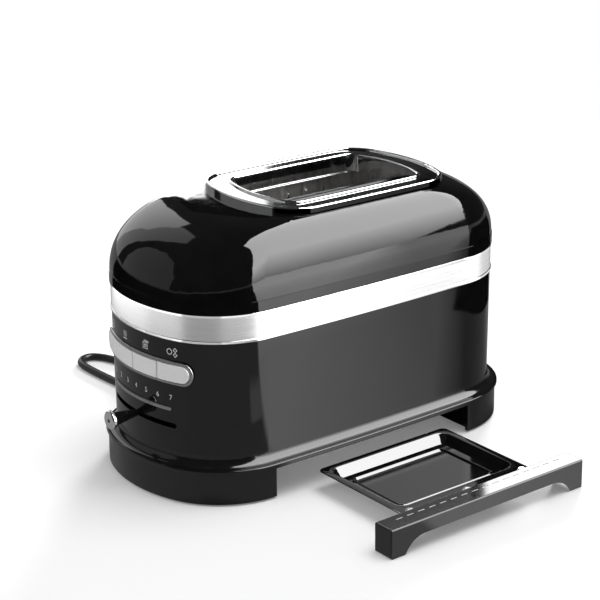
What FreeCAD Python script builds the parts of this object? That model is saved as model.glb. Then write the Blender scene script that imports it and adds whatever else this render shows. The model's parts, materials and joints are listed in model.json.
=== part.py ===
"""Two-slice pop up toaster with its crumb tray drawn out.

Frame: millimetres, +Z up, origin on the floor under the middle of the body.
X runs along the body, with the control end at -X. The crumb tray leaves at -Y.
"""

import FreeCAD, Part
import math
import os
import re

from FreeCAD import Placement, Rotation, Vector

UP = Vector(0, 0, 1)
OUT_BACK = Vector(0, 1, 0)
ALONG = Vector(1, 0, 0)

SIZES = {
    # plan of the body at the trim band: arcs for the sides, the ends and the corners
    "body_len": 317.0,
    "body_wid": 162.0,
    "side_bow": 4.4,
    "end_arc": 112.0,
    "corner_arc": 61.0,
    "sheet_wall": 1.2,
    # heights of the stacked shells
    "base_foot": 1.5,
    "lip_low": 25.5,
    "lip_top": 28.0,
    "shell_low": 37.0,
    "cove_arc": 7.0,
    "lip_round": 0.8,
    "band_low": 122.7,
    "band_tall": 21.6,
    "dome_brim": 8.0,
    "dome_top": 201.5,
    # base moulding
    "lip_out": 7.2,
    "skirt_out": 5.5,
    "base_wall": 3.0,
    "floor_low": 4.0,
    "floor_top": 7.0,
    "foot_rad": 10.0,
    "foot_in_x": 33.5,
    "foot_in_y": 36.0,
    "post_rad": 7.0,
    "plate_low": 24.0,
    "plate_wall": 1.5,
    "screw_rad": 2.0,
    # dome
    "dome_proud": 0.8,
    "brim_step": 0.6,
    "dome_end_in": 78.0,
    "dome_side_in": 24.0,
    "band_wall": 1.8,
    "bead_proud": 0.5,
    "bead_tall": 2.2,
    # slot frame and chamber
    "slot_mid_x": 18.0,
    "frame_len": 176.0,
    "frame_in": 19.0,
    "frame_wall": 3.0,
    "frame_bead": 1.5,
    "rail_wid": 20.0,
    "collar_deep": 10.0,
    "chamber_wall": 0.8,
    "board_low": 55.0,
    "board_drop": 28.5,
    "board_room": 8.5,
    "wire_rad": 0.8,
    "divider_wid": 11.0,
    "divider_drop": 8.0,
    # bread carriage
    "shelf_drop": 89.5,
    "shelf_low": 50.0,
    "rod_rad": 2.5,
    "rod_front": 16.0,
    "rod_y": 13.0,
    "gear_unit": 1.0,
    "gear_teeth": 12.0,
    "rack_end": 10.5,
    "rack_y": 24.0,
    # front controls
    "button_pitch": 13.7,
    "button_share": 0.6394,
    "button_tall": 12.8,
    "button_proud": 2.2,
    "button_gap": 0.4,
    "button_run": 1.5,
    "bezel_wid": 2.2,
    "bezel_proud": 1.2,
    "light_share": 0.3641,
    "light_tall": 2.6,
    "shade_share": 0.2287,
    "shade_step": 6.33,
    "shade_slot_tall": 4.0,
    "stem_len": 20.0,
    "cap_rad": 7.0,
    "cap_thick": 4.0,
    "panel_in": 32.5,
    # crumb tray, drawn out
    "notch_half": 94.0,
    "bay_spare": 8.5,
    "bar_side_gap": 1.5,
    "tray_out": 125.5,
    "bar_deep": 18.0,
    "bar_tall": 22.0,
    "bar_clear": 0.4,
    "arch_tall": 11.5,
    "arch_foot": 13.0,
    "arch_run": 19.0,
    "pan_half": 62.0,
    "pan_run": 102.0,
    "pan_top": 16.0,
    "pan_sheet": 1.0,
    "pan_deep": 9.0,
    "pan_rim": 5.5,
    "pan_flange": 15.0,
    # mains lead
    "cord_dia": 6.5,
    "gland_x": -66.0,
    "gland_z": 13.0,
    "coil_x": 70.0,
    "coil_out": 79.5,
    "coil_mid_rad": 36.0,
    "coil_half": 7.2,
    "plug_len": 38.0,
    "plug_wid": 26.0,
    "plug_tall": 20.0,
    # sizes that follow from the ones above
    "foot_x": "=body_len / 2 - foot_in_x",
    "foot_y": "=body_wid / 2 - foot_in_y",
    "band_top": "=band_low + band_tall",
    "frame_wid": "=body_wid - 2 * frame_in",
    "board_tall": "=dome_top - board_drop - board_low",
    "slot_gap": "=(body_wid - divider_wid) / 2 - frame_in - rail_wid - board_room",
    "shelf_z": "=dome_top - shelf_drop",
    "lift_run": "=dome_top - shelf_drop - shelf_low",
    "gear_z": "=plate_low + plate_wall + dome_top - shelf_drop - shelf_low + rack_end",
    "rod_x": "=slot_mid_x - frame_len / 2 + rail_wid - rod_front",
    "button_low": "=shell_low + (band_low - shell_low) * button_share",
    "light_z": "=shell_low + (band_low - shell_low) * light_share",
    "shade_z": "=shell_low + (band_low - shell_low) * shade_share",
    "panel_x": "=panel_in - body_len / 2",
    "bar_half": "=notch_half - bar_side_gap",
    "bar_front": "=-body_wid / 2 - skirt_out - tray_out",
    "pan_far": "=-body_wid / 2 - skirt_out - tray_out + bar_deep + pan_run",
    "bay_back": "=-body_wid / 2 - skirt_out + bar_deep + pan_run + bay_spare",
    "coil_y": "=body_wid / 2 + skirt_out + coil_out",
}

doc = FreeCAD.newDocument("pop_up_toaster")
sheet = doc.addObject("Spreadsheet::Sheet", "Sizes")
for row, (word, value) in enumerate(SIZES.items(), start=1):
    sheet.set(f"A{row}", word)
    sheet.set(f"B{row}", str(value))
    sheet.setAlias(f"B{row}", word)
doc.recompute()

nodes = []


def size(word):
    """A driving size, read from the sheet."""
    return float(getattr(sheet, word))


def rule(text):
    """Writes an expression's size words as cells of the sheet."""
    return re.sub(r"[a-z][a-z_]*", lambda m: "Sizes." + m[0] if m[0] in SIZES else m[0], text)


def bind(thing, **rules):
    """Binds properties to expressions. A double underscore stands for a dot."""
    for name, text in rules.items():
        thing.setExpression(name.replace("__", "."), rule(text))


def node(thing, label):
    """Registers a finished sub-part under its own name."""
    thing.Label = label
    nodes.append(thing)
    return thing


def box(name, low, span):
    """A Part::Box with its low corner and its spans given as expressions."""
    made = doc.addObject("Part::Box", name)
    bind(made, Length=span[0], Width=span[1], Height=span[2])
    bind(made, Placement__Base__x=low[0], Placement__Base__y=low[1], Placement__Base__z=low[2])
    return made


def rod(name, low, radius, height, turn=None):
    """A Part::Cylinder that starts at low and runs along +Z, or along the turned axis."""
    made = doc.addObject("Part::Cylinder", name)
    made.Placement = Placement(Vector(0, 0, 0), turn or Rotation())
    bind(made, Radius=radius, Height=height)
    bind(made, Placement__Base__x=low[0], Placement__Base__y=low[1], Placement__Base__z=low[2])
    return made


def fuse(name, parts):
    made = doc.addObject("Part::MultiFuse", name)
    made.Shapes = parts
    return made


def cut(name, base, tool):
    made = doc.addObject("Part::Cut", name)
    made.Base = base
    made.Tool = tool
    return made


def group(name, parts):
    """Identical separate solids that share one node."""
    made = doc.addObject("Part::Compound", name)
    made.Links = parts
    return made


def feature(name, shape):
    """A sub-part whose form neither a body nor a primitive gives."""
    made = doc.addObject("Part::Feature", name)
    made.Shape = shape
    return made


# --- plan outlines -------------------------------------------------------------


def outline(half_len, half_wid, bow, end_arc, corner_arc, grow, z, mid_x=0.0):
    """A closed plan of eight tangent arcs: two sides, two ends and four corners."""
    side_arc = (half_len**2 + bow**2) / (2 * bow)
    side = Vector(0, half_wid - side_arc, 0)
    end = Vector(half_len - end_arc, 0, 0)
    reach_side = side_arc - corner_arc
    reach_end = end_arc - corner_arc
    link = end - side
    apart = link.Length
    along = (apart**2 + reach_side**2 - reach_end**2) / (2 * apart)
    off = math.sqrt(reach_side**2 - along**2)
    link.normalize()
    corner = side + link * along + Vector(link.y, -link.x, 0) * off
    turn_side = math.atan2(corner.y - side.y, corner.x - side.x)
    turn_end = math.atan2(corner.y - end.y, corner.x - end.x)

    def at(centre, radius, angle, flip_x, flip_y):
        x = centre.x + (radius + grow) * math.cos(angle)
        y = centre.y + (radius + grow) * math.sin(angle)
        return Vector(mid_x + flip_x * x, flip_y * y, z)

    def arc(centre, radius, start, stop, flips):
        middle = (start + stop) / 2
        return Part.Arc(*[at(centre, radius, a, *flips) for a in (start, middle, stop)]).toShape()

    edges = [
        arc(side, side_arc, math.pi - turn_side, turn_side, (1, 1)),
        arc(corner, corner_arc, turn_side, turn_end, (1, 1)),
        arc(end, end_arc, turn_end, -turn_end, (1, 1)),
        arc(corner, corner_arc, turn_end, turn_side, (1, -1)),
        arc(side, side_arc, turn_side, math.pi - turn_side, (1, -1)),
        arc(corner, corner_arc, turn_side, turn_end, (-1, -1)),
        arc(end, end_arc, turn_end, -turn_end, (-1, -1)),
        arc(corner, corner_arc, turn_end, turn_side, (-1, 1)),
    ]
    return Part.Wire(edges)


def body_outline(grow, z):
    """The body's plan, grown outwards by that much."""
    return outline(
        size("body_len") / 2,
        size("body_wid") / 2,
        size("side_bow"),
        size("end_arc"),
        size("corner_arc"),
        grow,
        z,
    )


def body_slab(grow, low, top):
    return Part.Face(body_outline(grow, low)).extrude(UP * (top - low))


def body_ring(grow, wall, low, top):
    return body_slab(grow, low, top).cut(body_slab(grow - wall, low, top))


def plan_edges(shape, plan):
    """The shape's edges that run from corner to corner of that plan."""
    spots = [v.Point for v in plan.Vertexes]

    def on_rim(edge):
        ends = [v.Point for v in edge.Vertexes]
        return all(min((end - spot).Length for spot in spots) < 1e-3 for end in ends)

    return [edge for edge in shape.Edges if on_rim(edge)]


def rim_edges(shape, grow, z):
    """The shape's edges that lie on the body's plan at that level."""
    return plan_edges(shape, body_outline(grow, z))


def frame_outline(grow, z):
    """The slot frame's plan, with its gently bowed ends."""
    frame_bow = 1.5
    frame_end_arc = 125.0
    frame_corner_arc = 30.0
    return outline(
        size("frame_len") / 2,
        size("frame_wid") / 2,
        frame_bow,
        frame_end_arc,
        frame_corner_arc,
        grow,
        z,
        size("slot_mid_x"),
    )


def frame_slab(grow, low, top):
    return Part.Face(frame_outline(grow, low)).extrude(UP * (top - low))


def frame_ring(grow, wall, low, top):
    return frame_slab(grow, low, top).cut(frame_slab(grow - wall, low, top))


def block(x0, x1, y0, y1, z0, z1):
    return Part.makeBox(x1 - x0, y1 - y0, z1 - z0, Vector(x0, y0, z0))


def rounded_block(x0, x1, y0, y1, z0, z1, radius):
    """A block with its four upright edges rounded."""
    plain = block(x0, x1, y0, y1, z0, z1)
    upright = [e for e in plain.Edges if abs(e.Vertexes[0].Point.z - e.Vertexes[1].Point.z) > 1e-6]
    return plain.makeFillet(radius, upright)


def post(x, y, low, top, radius):
    return Part.makeCylinder(radius, top - low, Vector(x, y, low))


# --- base ----------------------------------------------------------------------

corners = [(sx * size("foot_x"), sy * size("foot_y")) for sx in (-1, 1) for sy in (-1, 1)]
shell_in = -1.2
clear = 0.3
gland_rad = 6.0
gland_bore = 4.6


def base_moulding():
    """Skirt, lip, cove, floor and tray bay in one moulding."""
    wall = size("base_wall")
    skirt = size("skirt_out")
    lip = size("lip_out")
    low = size("base_foot")
    top = size("shell_low")
    lip_low, lip_top = size("lip_low"), size("lip_top")
    crown = body_slab(lip, lip_low, lip_top).fuse(body_slab(shell_in, lip_low, top)).removeSplitter()
    crown = crown.makeFillet(size("cove_arc"), rim_edges(crown, shell_in, lip_top))
    lip_edges = rim_edges(crown, lip, lip_top) + rim_edges(crown, lip, lip_low)
    crown = crown.makeFillet(size("lip_round"), lip_edges)
    hull = body_slab(skirt, low, lip_low).fuse(crown)
    under = body_slab(skirt - wall, low - 1, size("floor_low"))
    room = body_slab(skirt - wall, size("floor_top"), size("plate_low") + size("plate_wall") + 1)
    mouth = body_slab(shell_in - wall, size("floor_top"), top + 1)
    made = hull.cut(under).cut(room).cut(mouth)
    half = size("notch_half")
    bay_wall = 2.0
    back = size("bay_back")
    front = -size("body_wid")
    bay_half = half + bay_wall
    bay = block(-bay_half, bay_half, front, back + bay_wall, size("floor_low"), size("plate_low"))
    bay = bay.common(body_slab(skirt - wall / 2, 0, size("plate_low")))
    made = made.fuse(bay)
    for x, y in corners:
        made = made.fuse(post(x, y, size("floor_low"), size("plate_low"), size("post_rad")))
    notch_top = size("bar_tall") + 1.5
    open_bay = block(-half, half, front, back, -1, notch_top)
    open_core = block(-half, half, -size("body_wid") / 2 + 4, back, -1, size("plate_low") + 1)
    made = made.cut(open_bay).cut(open_core)
    for x, y in corners:
        made = made.cut(post(x, y, 0, size("plate_low") + 1, size("screw_rad") + clear))
    gland_at = Vector(size("gland_x"), size("body_wid") / 2 - 15, size("gland_z"))
    gland = Part.makeCylinder(gland_rad + 0.2, 40, gland_at, OUT_BACK)
    return made.cut(gland).removeSplitter()


node(feature("BaseMoulding", base_moulding()), "base_moulding")


def foot_body(index, x, y):
    """A rubber foot, turned, with a dished collar."""
    body = doc.addObject("PartDesign::Body", f"Foot{index}")
    plane = next(f for f in body.Origin.OriginFeatures if f.Role == "XZ_Plane")
    sketch = body.newObject("Sketcher::SketchObject", f"FootProfile{index}")
    sketch.AttachmentSupport = (plane, "")
    sketch.MapMode = "FlatFace"
    tall = size("floor_low")
    wide = size("foot_rad")
    hole = size("screw_rad") + 2.4
    ring = [(hole, 0), (wide - 1.5, 0), (wide, 1.5), (wide, tall), (hole, tall)]
    for a, b in zip(ring, ring[1:] + ring[:1]):
        sketch.addGeometry(Part.LineSegment(Vector(*a, 0), Vector(*b, 0)))
    turn = body.newObject("PartDesign::Revolution", f"FootTurn{index}")
    turn.Profile = sketch
    turn.ReferenceAxis = (sketch, ["V_Axis"])
    turn.Angle = 360
    body.Tip = turn
    body.Placement = Placement(Vector(x, y, 0), Rotation())
    return body


feet = [foot_body(i, x, y) for i, (x, y) in enumerate(corners, start=1)]
node(group("RubberFeet", feet), "rubber_feet")


def base_screw(x, y):
    """A countersunk screw from the foot into the chassis plate."""
    head = post(x, y, 1.2, size("floor_low"), size("screw_rad") + 2.0)
    shank = post(x, y, size("floor_low"), size("plate_low") + size("plate_wall"), size("screw_rad"))
    return head.fuse(shank)


node(feature("BaseScrews", Part.makeCompound([base_screw(x, y) for x, y in corners])), "base_screws")

slot_mid = size("slot_mid_x")
hole_half_len = size("frame_len") / 2 - size("rail_wid") + 4
hole_half_wid = size("frame_wid") / 2 - size("rail_wid")
plate_top = size("plate_low") + size("plate_wall")


def chassis_plate():
    """Steel plate across the base, open above the crumb pan."""
    plate = body_slab(size("skirt_out") - size("base_wall") - clear, size("plate_low"), plate_top)
    margin = 4.0
    opening = block(
        slot_mid - hole_half_len + margin,
        slot_mid + hole_half_len - margin,
        -hole_half_wid + margin,
        hole_half_wid - margin,
        0,
        60,
    )
    plate = plate.cut(opening)
    for x, y in corners:
        plate = plate.cut(post(x, y, 0, 60, size("screw_rad") + 0.1))
    return plate


node(feature("ChassisPlate", chassis_plate()), "chassis_plate")


def tray_rail(side):
    """An L rail that hangs from the chassis plate and carries the pan's rim."""
    web = size("pan_half") + 1.5
    ledge_top = size("pan_top") - size("pan_sheet") - clear
    ledge_low = ledge_top - 1.2
    front = -(size("body_wid") / 2 + size("skirt_out")) + size("bar_deep") + 1
    back = size("bay_back") - 1
    ledge = block(web - 5, web + 1, front, back, ledge_low, ledge_top)
    wall = block(web, web + 1, front, back, ledge_low, size("plate_low"))
    made = ledge.fuse(wall)
    return made if side > 0 else made.mirror(Vector(0, 0, 0), ALONG)


node(feature("TrayRails", Part.makeCompound([tray_rail(s) for s in (-1, 1)])), "tray_rails")

# --- outer shells --------------------------------------------------------------

front_x = -size("body_len") / 2
end_mid_x = front_x + size("end_arc")
shell_out = -0.3


def sector(r_in, r_out, half_angle, low, top, mid_angle=0.0):
    """A curved bar about the control end's arc. Angle 0 faces -X and grows towards -Y."""
    start = 180 + mid_angle - half_angle

    def arc_at(radius):
        a, m, b = [math.radians(start + half_angle * k) for k in (0, 1, 2)]
        spots = [Vector(end_mid_x + radius * math.cos(t), radius * math.sin(t), low) for t in (a, m, b)]
        return Part.Arc(*spots).toShape()

    outer = arc_at(r_out)
    inner = arc_at(r_in)
    ends = [
        Part.LineSegment(outer.Vertexes[k].Point, inner.Vertexes[k].Point).toShape() for k in (0, 1)
    ]
    wire = Part.Wire(Part.__sortEdges__([outer, ends[1], inner, ends[0]]))
    return Part.Face(wire).extrude(UP * (top - low))


def radial_rod(angle, r_in, r_out, z, radius, radius_out=None):
    """A rod or cone that points from the control end's arc centre at that angle."""
    t = math.radians(180 + angle)
    way = Vector(math.cos(t), math.sin(t), 0)
    foot = Vector(end_mid_x, 0, z) + way * r_in
    if radius_out is None:
        return Part.makeCylinder(radius, r_out - r_in, foot, way)
    return Part.makeCone(radius, radius_out, r_out - r_in, foot, way)


def pill(r_in, r_out, half_angle, low, top):
    """A curved bar with round ends."""
    mid_r = (r_in + r_out) / 2
    half_tall = (top - low) / 2
    inset = math.degrees(half_tall / mid_r)
    made = sector(r_in, r_out, half_angle - inset, low, top)
    mid_z = low + half_tall
    for s in (-1, 1):
        made = made.fuse(radial_rod(s * (half_angle - inset), r_in - 1, r_out + 1, mid_z, half_tall))
    return made.common(sector(r_in, r_out, half_angle + 1, low - 1, top + 1)).removeSplitter()


def edges_at_radius(shape, radius):
    """The shape's edges that lie on a cylinder about the control end's axis."""

    def on_it(point):
        return abs(math.hypot(point.x - end_mid_x, point.y) - radius) < 1e-3

    return [e for e in shape.Edges if all(on_it(e.valueAt(t)) for t in middle_and_ends(e))]


def middle_and_ends(edge):
    return (edge.FirstParameter, (edge.FirstParameter + edge.LastParameter) / 2, edge.LastParameter)


face_r = size("end_arc") + shell_out
skin_r = face_r - size("sheet_wall")
button_half = 2 * size("button_pitch") + 0.6
button_top = size("button_low") + size("button_tall")
bezel = size("bezel_wid")
bezel_half = button_half + math.degrees((bezel + size("button_gap")) / face_r)
slot_half = 3 * size("shade_step") + 2.2
slot_low = size("shade_z") - size("shade_slot_tall") / 2
light_half = 3 * size("shade_step") + 0.5


def lower_shell():
    """Painted sheet wrap between the base and the trim band."""
    low = size("shell_low")
    top = size("band_low")
    wall = size("sheet_wall")
    outer = Part.makeLoft([body_outline(shell_in, low), body_outline(shell_out, top)], True, True)
    inner_plans = [body_outline(shell_in - wall, low), body_outline(shell_out - wall, top)]
    inner = Part.makeLoft(inner_plans, True, True)
    made = outer.cut(inner)
    r0 = size("end_arc") - 8
    r1 = size("end_arc") + 8
    gap = size("button_gap") + bezel / 2
    key_half = button_half + math.degrees(gap / face_r)
    made = made.cut(pill(r0, r1, key_half, size("button_low") - gap, button_top + gap))
    light_low = size("light_z")
    made = made.cut(pill(r0, r1, light_half, light_low, light_low + size("light_tall")))
    slot_top = slot_low + size("shade_slot_tall")
    return made.cut(pill(r0, r1, slot_half, slot_low, slot_top))


node(feature("LowerShell", lower_shell()), "lower_shell")


def trim_band():
    """Bright metal band with a raised bead along each edge."""
    low = size("band_low")
    top = size("band_top")
    bead = size("bead_tall")
    wall = size("band_wall")
    proud = size("bead_proud")
    made = body_ring(0, wall, low, top)
    made = made.fuse(body_ring(proud, wall, low, low + bead))
    made = made.fuse(body_ring(proud, wall, top - bead, top)).removeSplitter()
    bead_edges = []
    for z in (low, low + bead, top - bead, top):
        bead_edges += rim_edges(made, proud, z)
    return made.makeFillet(proud * 0.8, bead_edges)


node(feature("TrimBand", trim_band()), "trim_band")


dome_lap = 2.0


def dome_sections(inset):
    """Plans up the dome, each drawn in by a quarter of an oval. Inset is measured square to the skin."""
    proud = size("dome_proud") - size("brim_step")
    half_len = size("body_len") / 2 + proud
    half_wid = size("body_wid") / 2 + proud
    start = size("band_top") + size("dome_brim") - dome_lap
    rise = size("dome_top") - start
    corner_top = 34.0
    end_power = 2.25
    steps = 9
    made = []
    for k in range(steps):
        turn = math.radians(90.0) * k / (steps - 1)
        up = math.sin(turn)
        end_in = size("dome_end_in") * (1 - max(1 - up**end_power, 0) ** (1 / end_power))
        side_in = size("dome_side_in") * (1 - math.cos(turn))
        share = (half_wid - side_in) / half_wid
        corner = size("corner_arc") + (corner_top - size("corner_arc")) * k / (steps - 1)
        z = start + rise * up - inset * up
        made.append(
            outline(
                half_len - end_in,
                half_wid - side_in,
                size("side_bow") * share,
                size("end_arc") * share,
                corner,
                -inset * math.cos(turn),
                z,
            )
        )
    return made


def dome_shell():
    """Deep drawn cover that steps out to a plain brim, open under the slot frame."""
    wall = size("sheet_wall")
    low = size("band_top")
    brim = low + size("dome_brim")
    outer = Part.makeLoft(dome_sections(0), True, False)
    inner = Part.makeLoft(dome_sections(wall), True, False)
    cap = outer.fuse(body_slab(size("dome_proud"), low, brim))
    hollow = inner.fuse(body_slab(size("dome_proud") - wall, low - 1, brim - wall))
    mouth = frame_slab(-size("rail_wid") + 3.5, low, size("dome_top") + 5)
    return cap.cut(hollow).cut(mouth)


node(feature("DomeShell", dome_shell()), "dome_shell")

# --- slot frame and toasting chamber -------------------------------------------


def slot_frame():
    """Bright frame round the bread slots: two rolled edges, a sunk channel and a collar."""
    low = size("dome_top")
    top = low + size("frame_wall")
    rail = size("rail_wid")
    bead = size("frame_bead")
    bead_wid = 3.0
    made = frame_ring(0, rail, low, top)
    made = made.fuse(frame_ring(0, bead_wid, top, top + bead))
    made = made.fuse(frame_ring(bead_wid - rail, bead_wid, top, top + bead))
    made = made.fuse(frame_ring(1.2 - rail, 1.2, low - size("collar_deep"), low)).removeSplitter()
    rolled = []
    for grow in (0, -bead_wid, bead_wid - rail, -rail):
        rolled += plan_edges(made, frame_outline(grow, top + bead))
    return made.makeFillet(bead * 0.8, rolled)


node(feature("SlotFrame", slot_frame()), "slot_frame")

collar_low = "dome_top - collar_deep - 0.3"
plate_up = "(plate_low + plate_wall)"
chamber_half_y = "(frame_wid / 2 - rail_wid - 2)"
chamber_front = "(slot_mid_x - frame_len / 2 + rail_wid - 3)"
chamber_rear = "(slot_mid_x + frame_len / 2 - rail_wid + 3)"
chamber_len = f"({chamber_rear} - {chamber_front})"


def end_plate(name, label, x):
    """A chamber end, slotted for the two bread racks."""
    plate = box(
        name + "Blank",
        (x, f"-{chamber_half_y} - 1", plate_up),
        ("chamber_wall", f"2 * {chamber_half_y} + 2", f"{collar_low} - {plate_up}"),
    )
    slots = [
        box(
            name + side,
            (f"{x} - 2", f"{sign}(divider_wid / 2 + slot_gap / 2) - 2", "shelf_z - lift_run - 5"),
            ("chamber_wall + 4", "4", "lift_run + 10"),
        )
        for side, sign in (("SlotNear", "-"), ("SlotFar", ""))
    ]
    return node(cut(name, plate, fuse(name + "Slots", slots)), label)


end_plate("ChamberFront", "chamber_front_plate", f"{chamber_front} - chamber_wall")
end_plate("ChamberRear", "chamber_rear_plate", chamber_rear)

for label, low_y in (
    ("near_reflector", f"-{chamber_half_y} - chamber_wall"),
    ("far_reflector", chamber_half_y),
):
    node(
        box(
            label.title().replace("_", ""),
            (chamber_front, low_y, plate_up),
            (chamber_len, "chamber_wall", f"{collar_low} - {plate_up}"),
        ),
        label,
    )


def heater_board(label, low_y):
    """A mica sheet that stands in the chamber between its two ends."""
    name = label.title().replace("_", "")
    low = (chamber_front, low_y, "board_low")
    return node(box(name, low, (chamber_len, "0.8", "board_tall")), label)


def ribbon_group(label, low_y):
    """Level runs of flat heating ribbon on one face of a board."""
    runs = 9
    strips = [
        box(
            label.title().replace("_", "") + str(k),
            (f"{chamber_front} + 6", low_y, f"board_low + board_tall * {(k + 0.5) / runs} - 0.8"),
            (f"{chamber_len} - 12", "0.35", "1.6"),
        )
        for k in range(runs)
    ]
    return node(group(label.title().replace("_", "") + "Set", strips), label)


heater_board("near_heater_board", f"-{chamber_half_y} + 0.3")
heater_board("centre_heater_board", "-0.4")
heater_board("far_heater_board", f"{chamber_half_y} - 1.1")
ribbon_group("near_heater_ribbon", f"-{chamber_half_y} + 1.1")
ribbon_group("centre_near_ribbon", "-0.75")
ribbon_group("centre_far_ribbon", "0.4")
ribbon_group("far_heater_ribbon", f"{chamber_half_y} - 1.45")


def guard_wires(label, sign):
    """Two rows of upright wires that keep bread off the elements of one slot, each row on a foot bar."""
    count = 7
    name = label.title().replace("_", "")
    rows = []
    for row, y in enumerate(("divider_wid / 2", "divider_wid / 2 + slot_gap")):
        y_rule = f"{sign}({y})"
        bar_turn = Rotation(OUT_BACK, 90)
        bar_low = (chamber_front, y_rule, "board_low - 4")
        tall = "board_tall + 12"
        parts = [rod(f"{name}Bar{row}", bar_low, "wire_rad + 0.2", chamber_len, bar_turn)]
        for k in range(count):
            x = f"{chamber_front} + {chamber_len} * {(k + 1) / (count + 1)}"
            parts.append(rod(f"{name}{row}W{k}", (x, y_rule, "board_low - 4"), "wire_rad", tall))
        rows.append(fuse(f"{name}Row{row}", parts))
    return node(group(name + "Rows", rows), label)


guard_wires("near_guard_wires", "-")
guard_wires("far_guard_wires", "")

divider_front = "(slot_mid_x - frame_len / 2 + rail_wid + 0.3)"
divider_len = "(frame_len - 2 * rail_wid - 0.6)"
divider_blank = box(
    "DividerBlank",
    (divider_front, "-divider_wid / 2 + 1.4", "dome_top - divider_drop - 9"),
    (divider_len, "divider_wid - 2.8", "9"),
)
divider = doc.addObject("Part::Fillet", "CentreDivider")
divider.Base = divider_blank
doc.recompute()
top_z = size("dome_top") - size("divider_drop")
long_edges = [
    k
    for k, e in enumerate(divider_blank.Shape.Edges, start=1)
    if all(abs(v.Point.z - top_z) < 1e-6 for v in e.Vertexes) and e.Length > size("divider_wid")
]
divider.Edges = [(k, 3.0, 3.0) for k in long_edges]
node(divider, "centre_divider")

# --- bread carriage and its drive ----------------------------------------------


def bread_rack(label, sign):
    """A shelf strip with raised teeth that reaches through both chamber ends."""
    name = label.title().replace("_", "")
    mid = f"{sign}(divider_wid / 2 + slot_gap / 2)"
    parts = [
        box(
            name + "Spine",
            (f"{chamber_front} - 9.5", f"{mid} - 0.8", "shelf_z - 3"),
            (f"{chamber_len} + 14.5", "1.6", "6"),
        )
    ]
    rungs = 8
    for k in range(rungs):
        x = f"{chamber_front} + {chamber_len} * {(k + 0.5) / rungs} - 2"
        low = (x, f"{mid} - slot_gap / 2 + 5", "shelf_z - 1.2")
        parts.append(box(f"{name}Rung{k}", low, ("4", "slot_gap - 10", "1.2")))
    return node(fuse(name, parts), label)


bread_rack("near_bread_rack", "-")
bread_rack("far_bread_rack", "")

rod_clear = 0.3
lift_bracket_x = slot_mid - size("frame_len") / 2 + size("rail_wid") - 3 - 9.5


def lift_bracket():
    """Plate that ties both racks to the guide rod sleeves and carries the toothed rack."""
    wall = 2.0
    reach = max(size("divider_wid") / 2 + size("slot_gap") / 2 + 5, size("rack_y") + 0.5)
    low = size("shelf_z") - 8
    top = size("shelf_z") + 8
    made = block(lift_bracket_x - wall, lift_bracket_x, -reach, reach, low, top)
    for s in (-1, 1):
        made = made.fuse(post(size("rod_x"), s * size("rod_y"), low, top, size("rod_rad") + 2.2))
    bore = size("rod_rad") + rod_clear
    for s in (-1, 1):
        made = made.cut(post(size("rod_x"), s * size("rod_y"), low - 1, top + 1, bore))
    return made


node(feature("LiftBracket", lift_bracket()), "lift_bracket")

gear_r = size("gear_unit") * size("gear_teeth") / 2
tooth_pitch = math.pi * size("gear_unit")
tooth_half = tooth_pitch / 4 - 0.14
rack_x = (lift_bracket_x - 2.0 - 6.0, lift_bracket_x - 2.0)
gear_y = size("rack_y") + gear_r


def lift_rack():
    """Toothed bar on the carriage. A gap faces the pinion's level at rest."""
    unit = size("gear_unit")
    back = 4.0
    root = size("rack_y") - 1.25 * unit
    low = size("gear_z") - 3 * tooth_pitch
    top = size("gear_z") + size("lift_run") + 3 * tooth_pitch
    made = block(*rack_x, root - back, root, low, top)
    slope = math.tan(math.radians(20))
    count = int((top - low) / tooth_pitch)
    for k in range(count):
        z = low + (k + 0.5) * tooth_pitch
        wide = tooth_half + 1.25 * unit * slope
        slim = tooth_half - 0.8 * unit * slope
        tip = size("rack_y") + 0.8 * unit
        ring = [(root - 0.2, z - wide), (root, z - wide), (tip, z - slim)]
        ring += [(tip, z + slim), (root, z + wide), (root - 0.2, z + wide)]
        wire = Part.makePolygon([Vector(rack_x[0], *p) for p in ring + ring[:1]])
        made = made.fuse(Part.Face(wire).extrude(Vector(rack_x[1] - rack_x[0], 0, 0)))
    return made.removeSplitter()


node(feature("LiftRack", lift_rack()), "lift_rack")


shaft_rad = 1.5
shaft_len = 18.0


def drive_pinion():
    """Pinion and its shaft. One tooth points at the rack's gap at rest."""
    unit = size("gear_unit")
    count = int(size("gear_teeth"))
    root = gear_r - 1.25 * unit
    tip = gear_r + 0.8 * unit
    x0 = rack_x[0] + 0.5
    width = rack_x[1] - rack_x[0] - 1.0
    hub = Vector(x0, gear_y, size("gear_z"))
    made = Part.makeCylinder(root, width, hub, ALONG)
    half = tooth_half / gear_r
    for k in range(count):
        turn = math.pi + 2 * math.pi * k / count
        ring = []
        for radius, spread in ((root - 0.3, 1.5), (gear_r, 1.0), (tip, 0.5)):
            ring.append((radius, -half * spread))
            ring.append((radius, half * spread))
        ordered = [ring[0], ring[2], ring[4], ring[5], ring[3], ring[1]]
        spots = [
            Vector(x0, gear_y + r * math.cos(turn + a), size("gear_z") + r * math.sin(turn + a))
            for r, a in ordered
        ]
        face = Part.Face(Part.makePolygon(spots + spots[:1]))
        made = made.fuse(face.extrude(Vector(width, 0, 0)))
    shaft = Part.makeCylinder(shaft_rad, shaft_len, hub - ALONG * shaft_len, ALONG)
    return made.fuse(shaft).removeSplitter()


node(feature("DrivePinion", drive_pinion()), "drive_pinion")

motor_face = rack_x[0] - 4.0
nose_rad = 4.0
nose_len = 2.0


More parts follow.
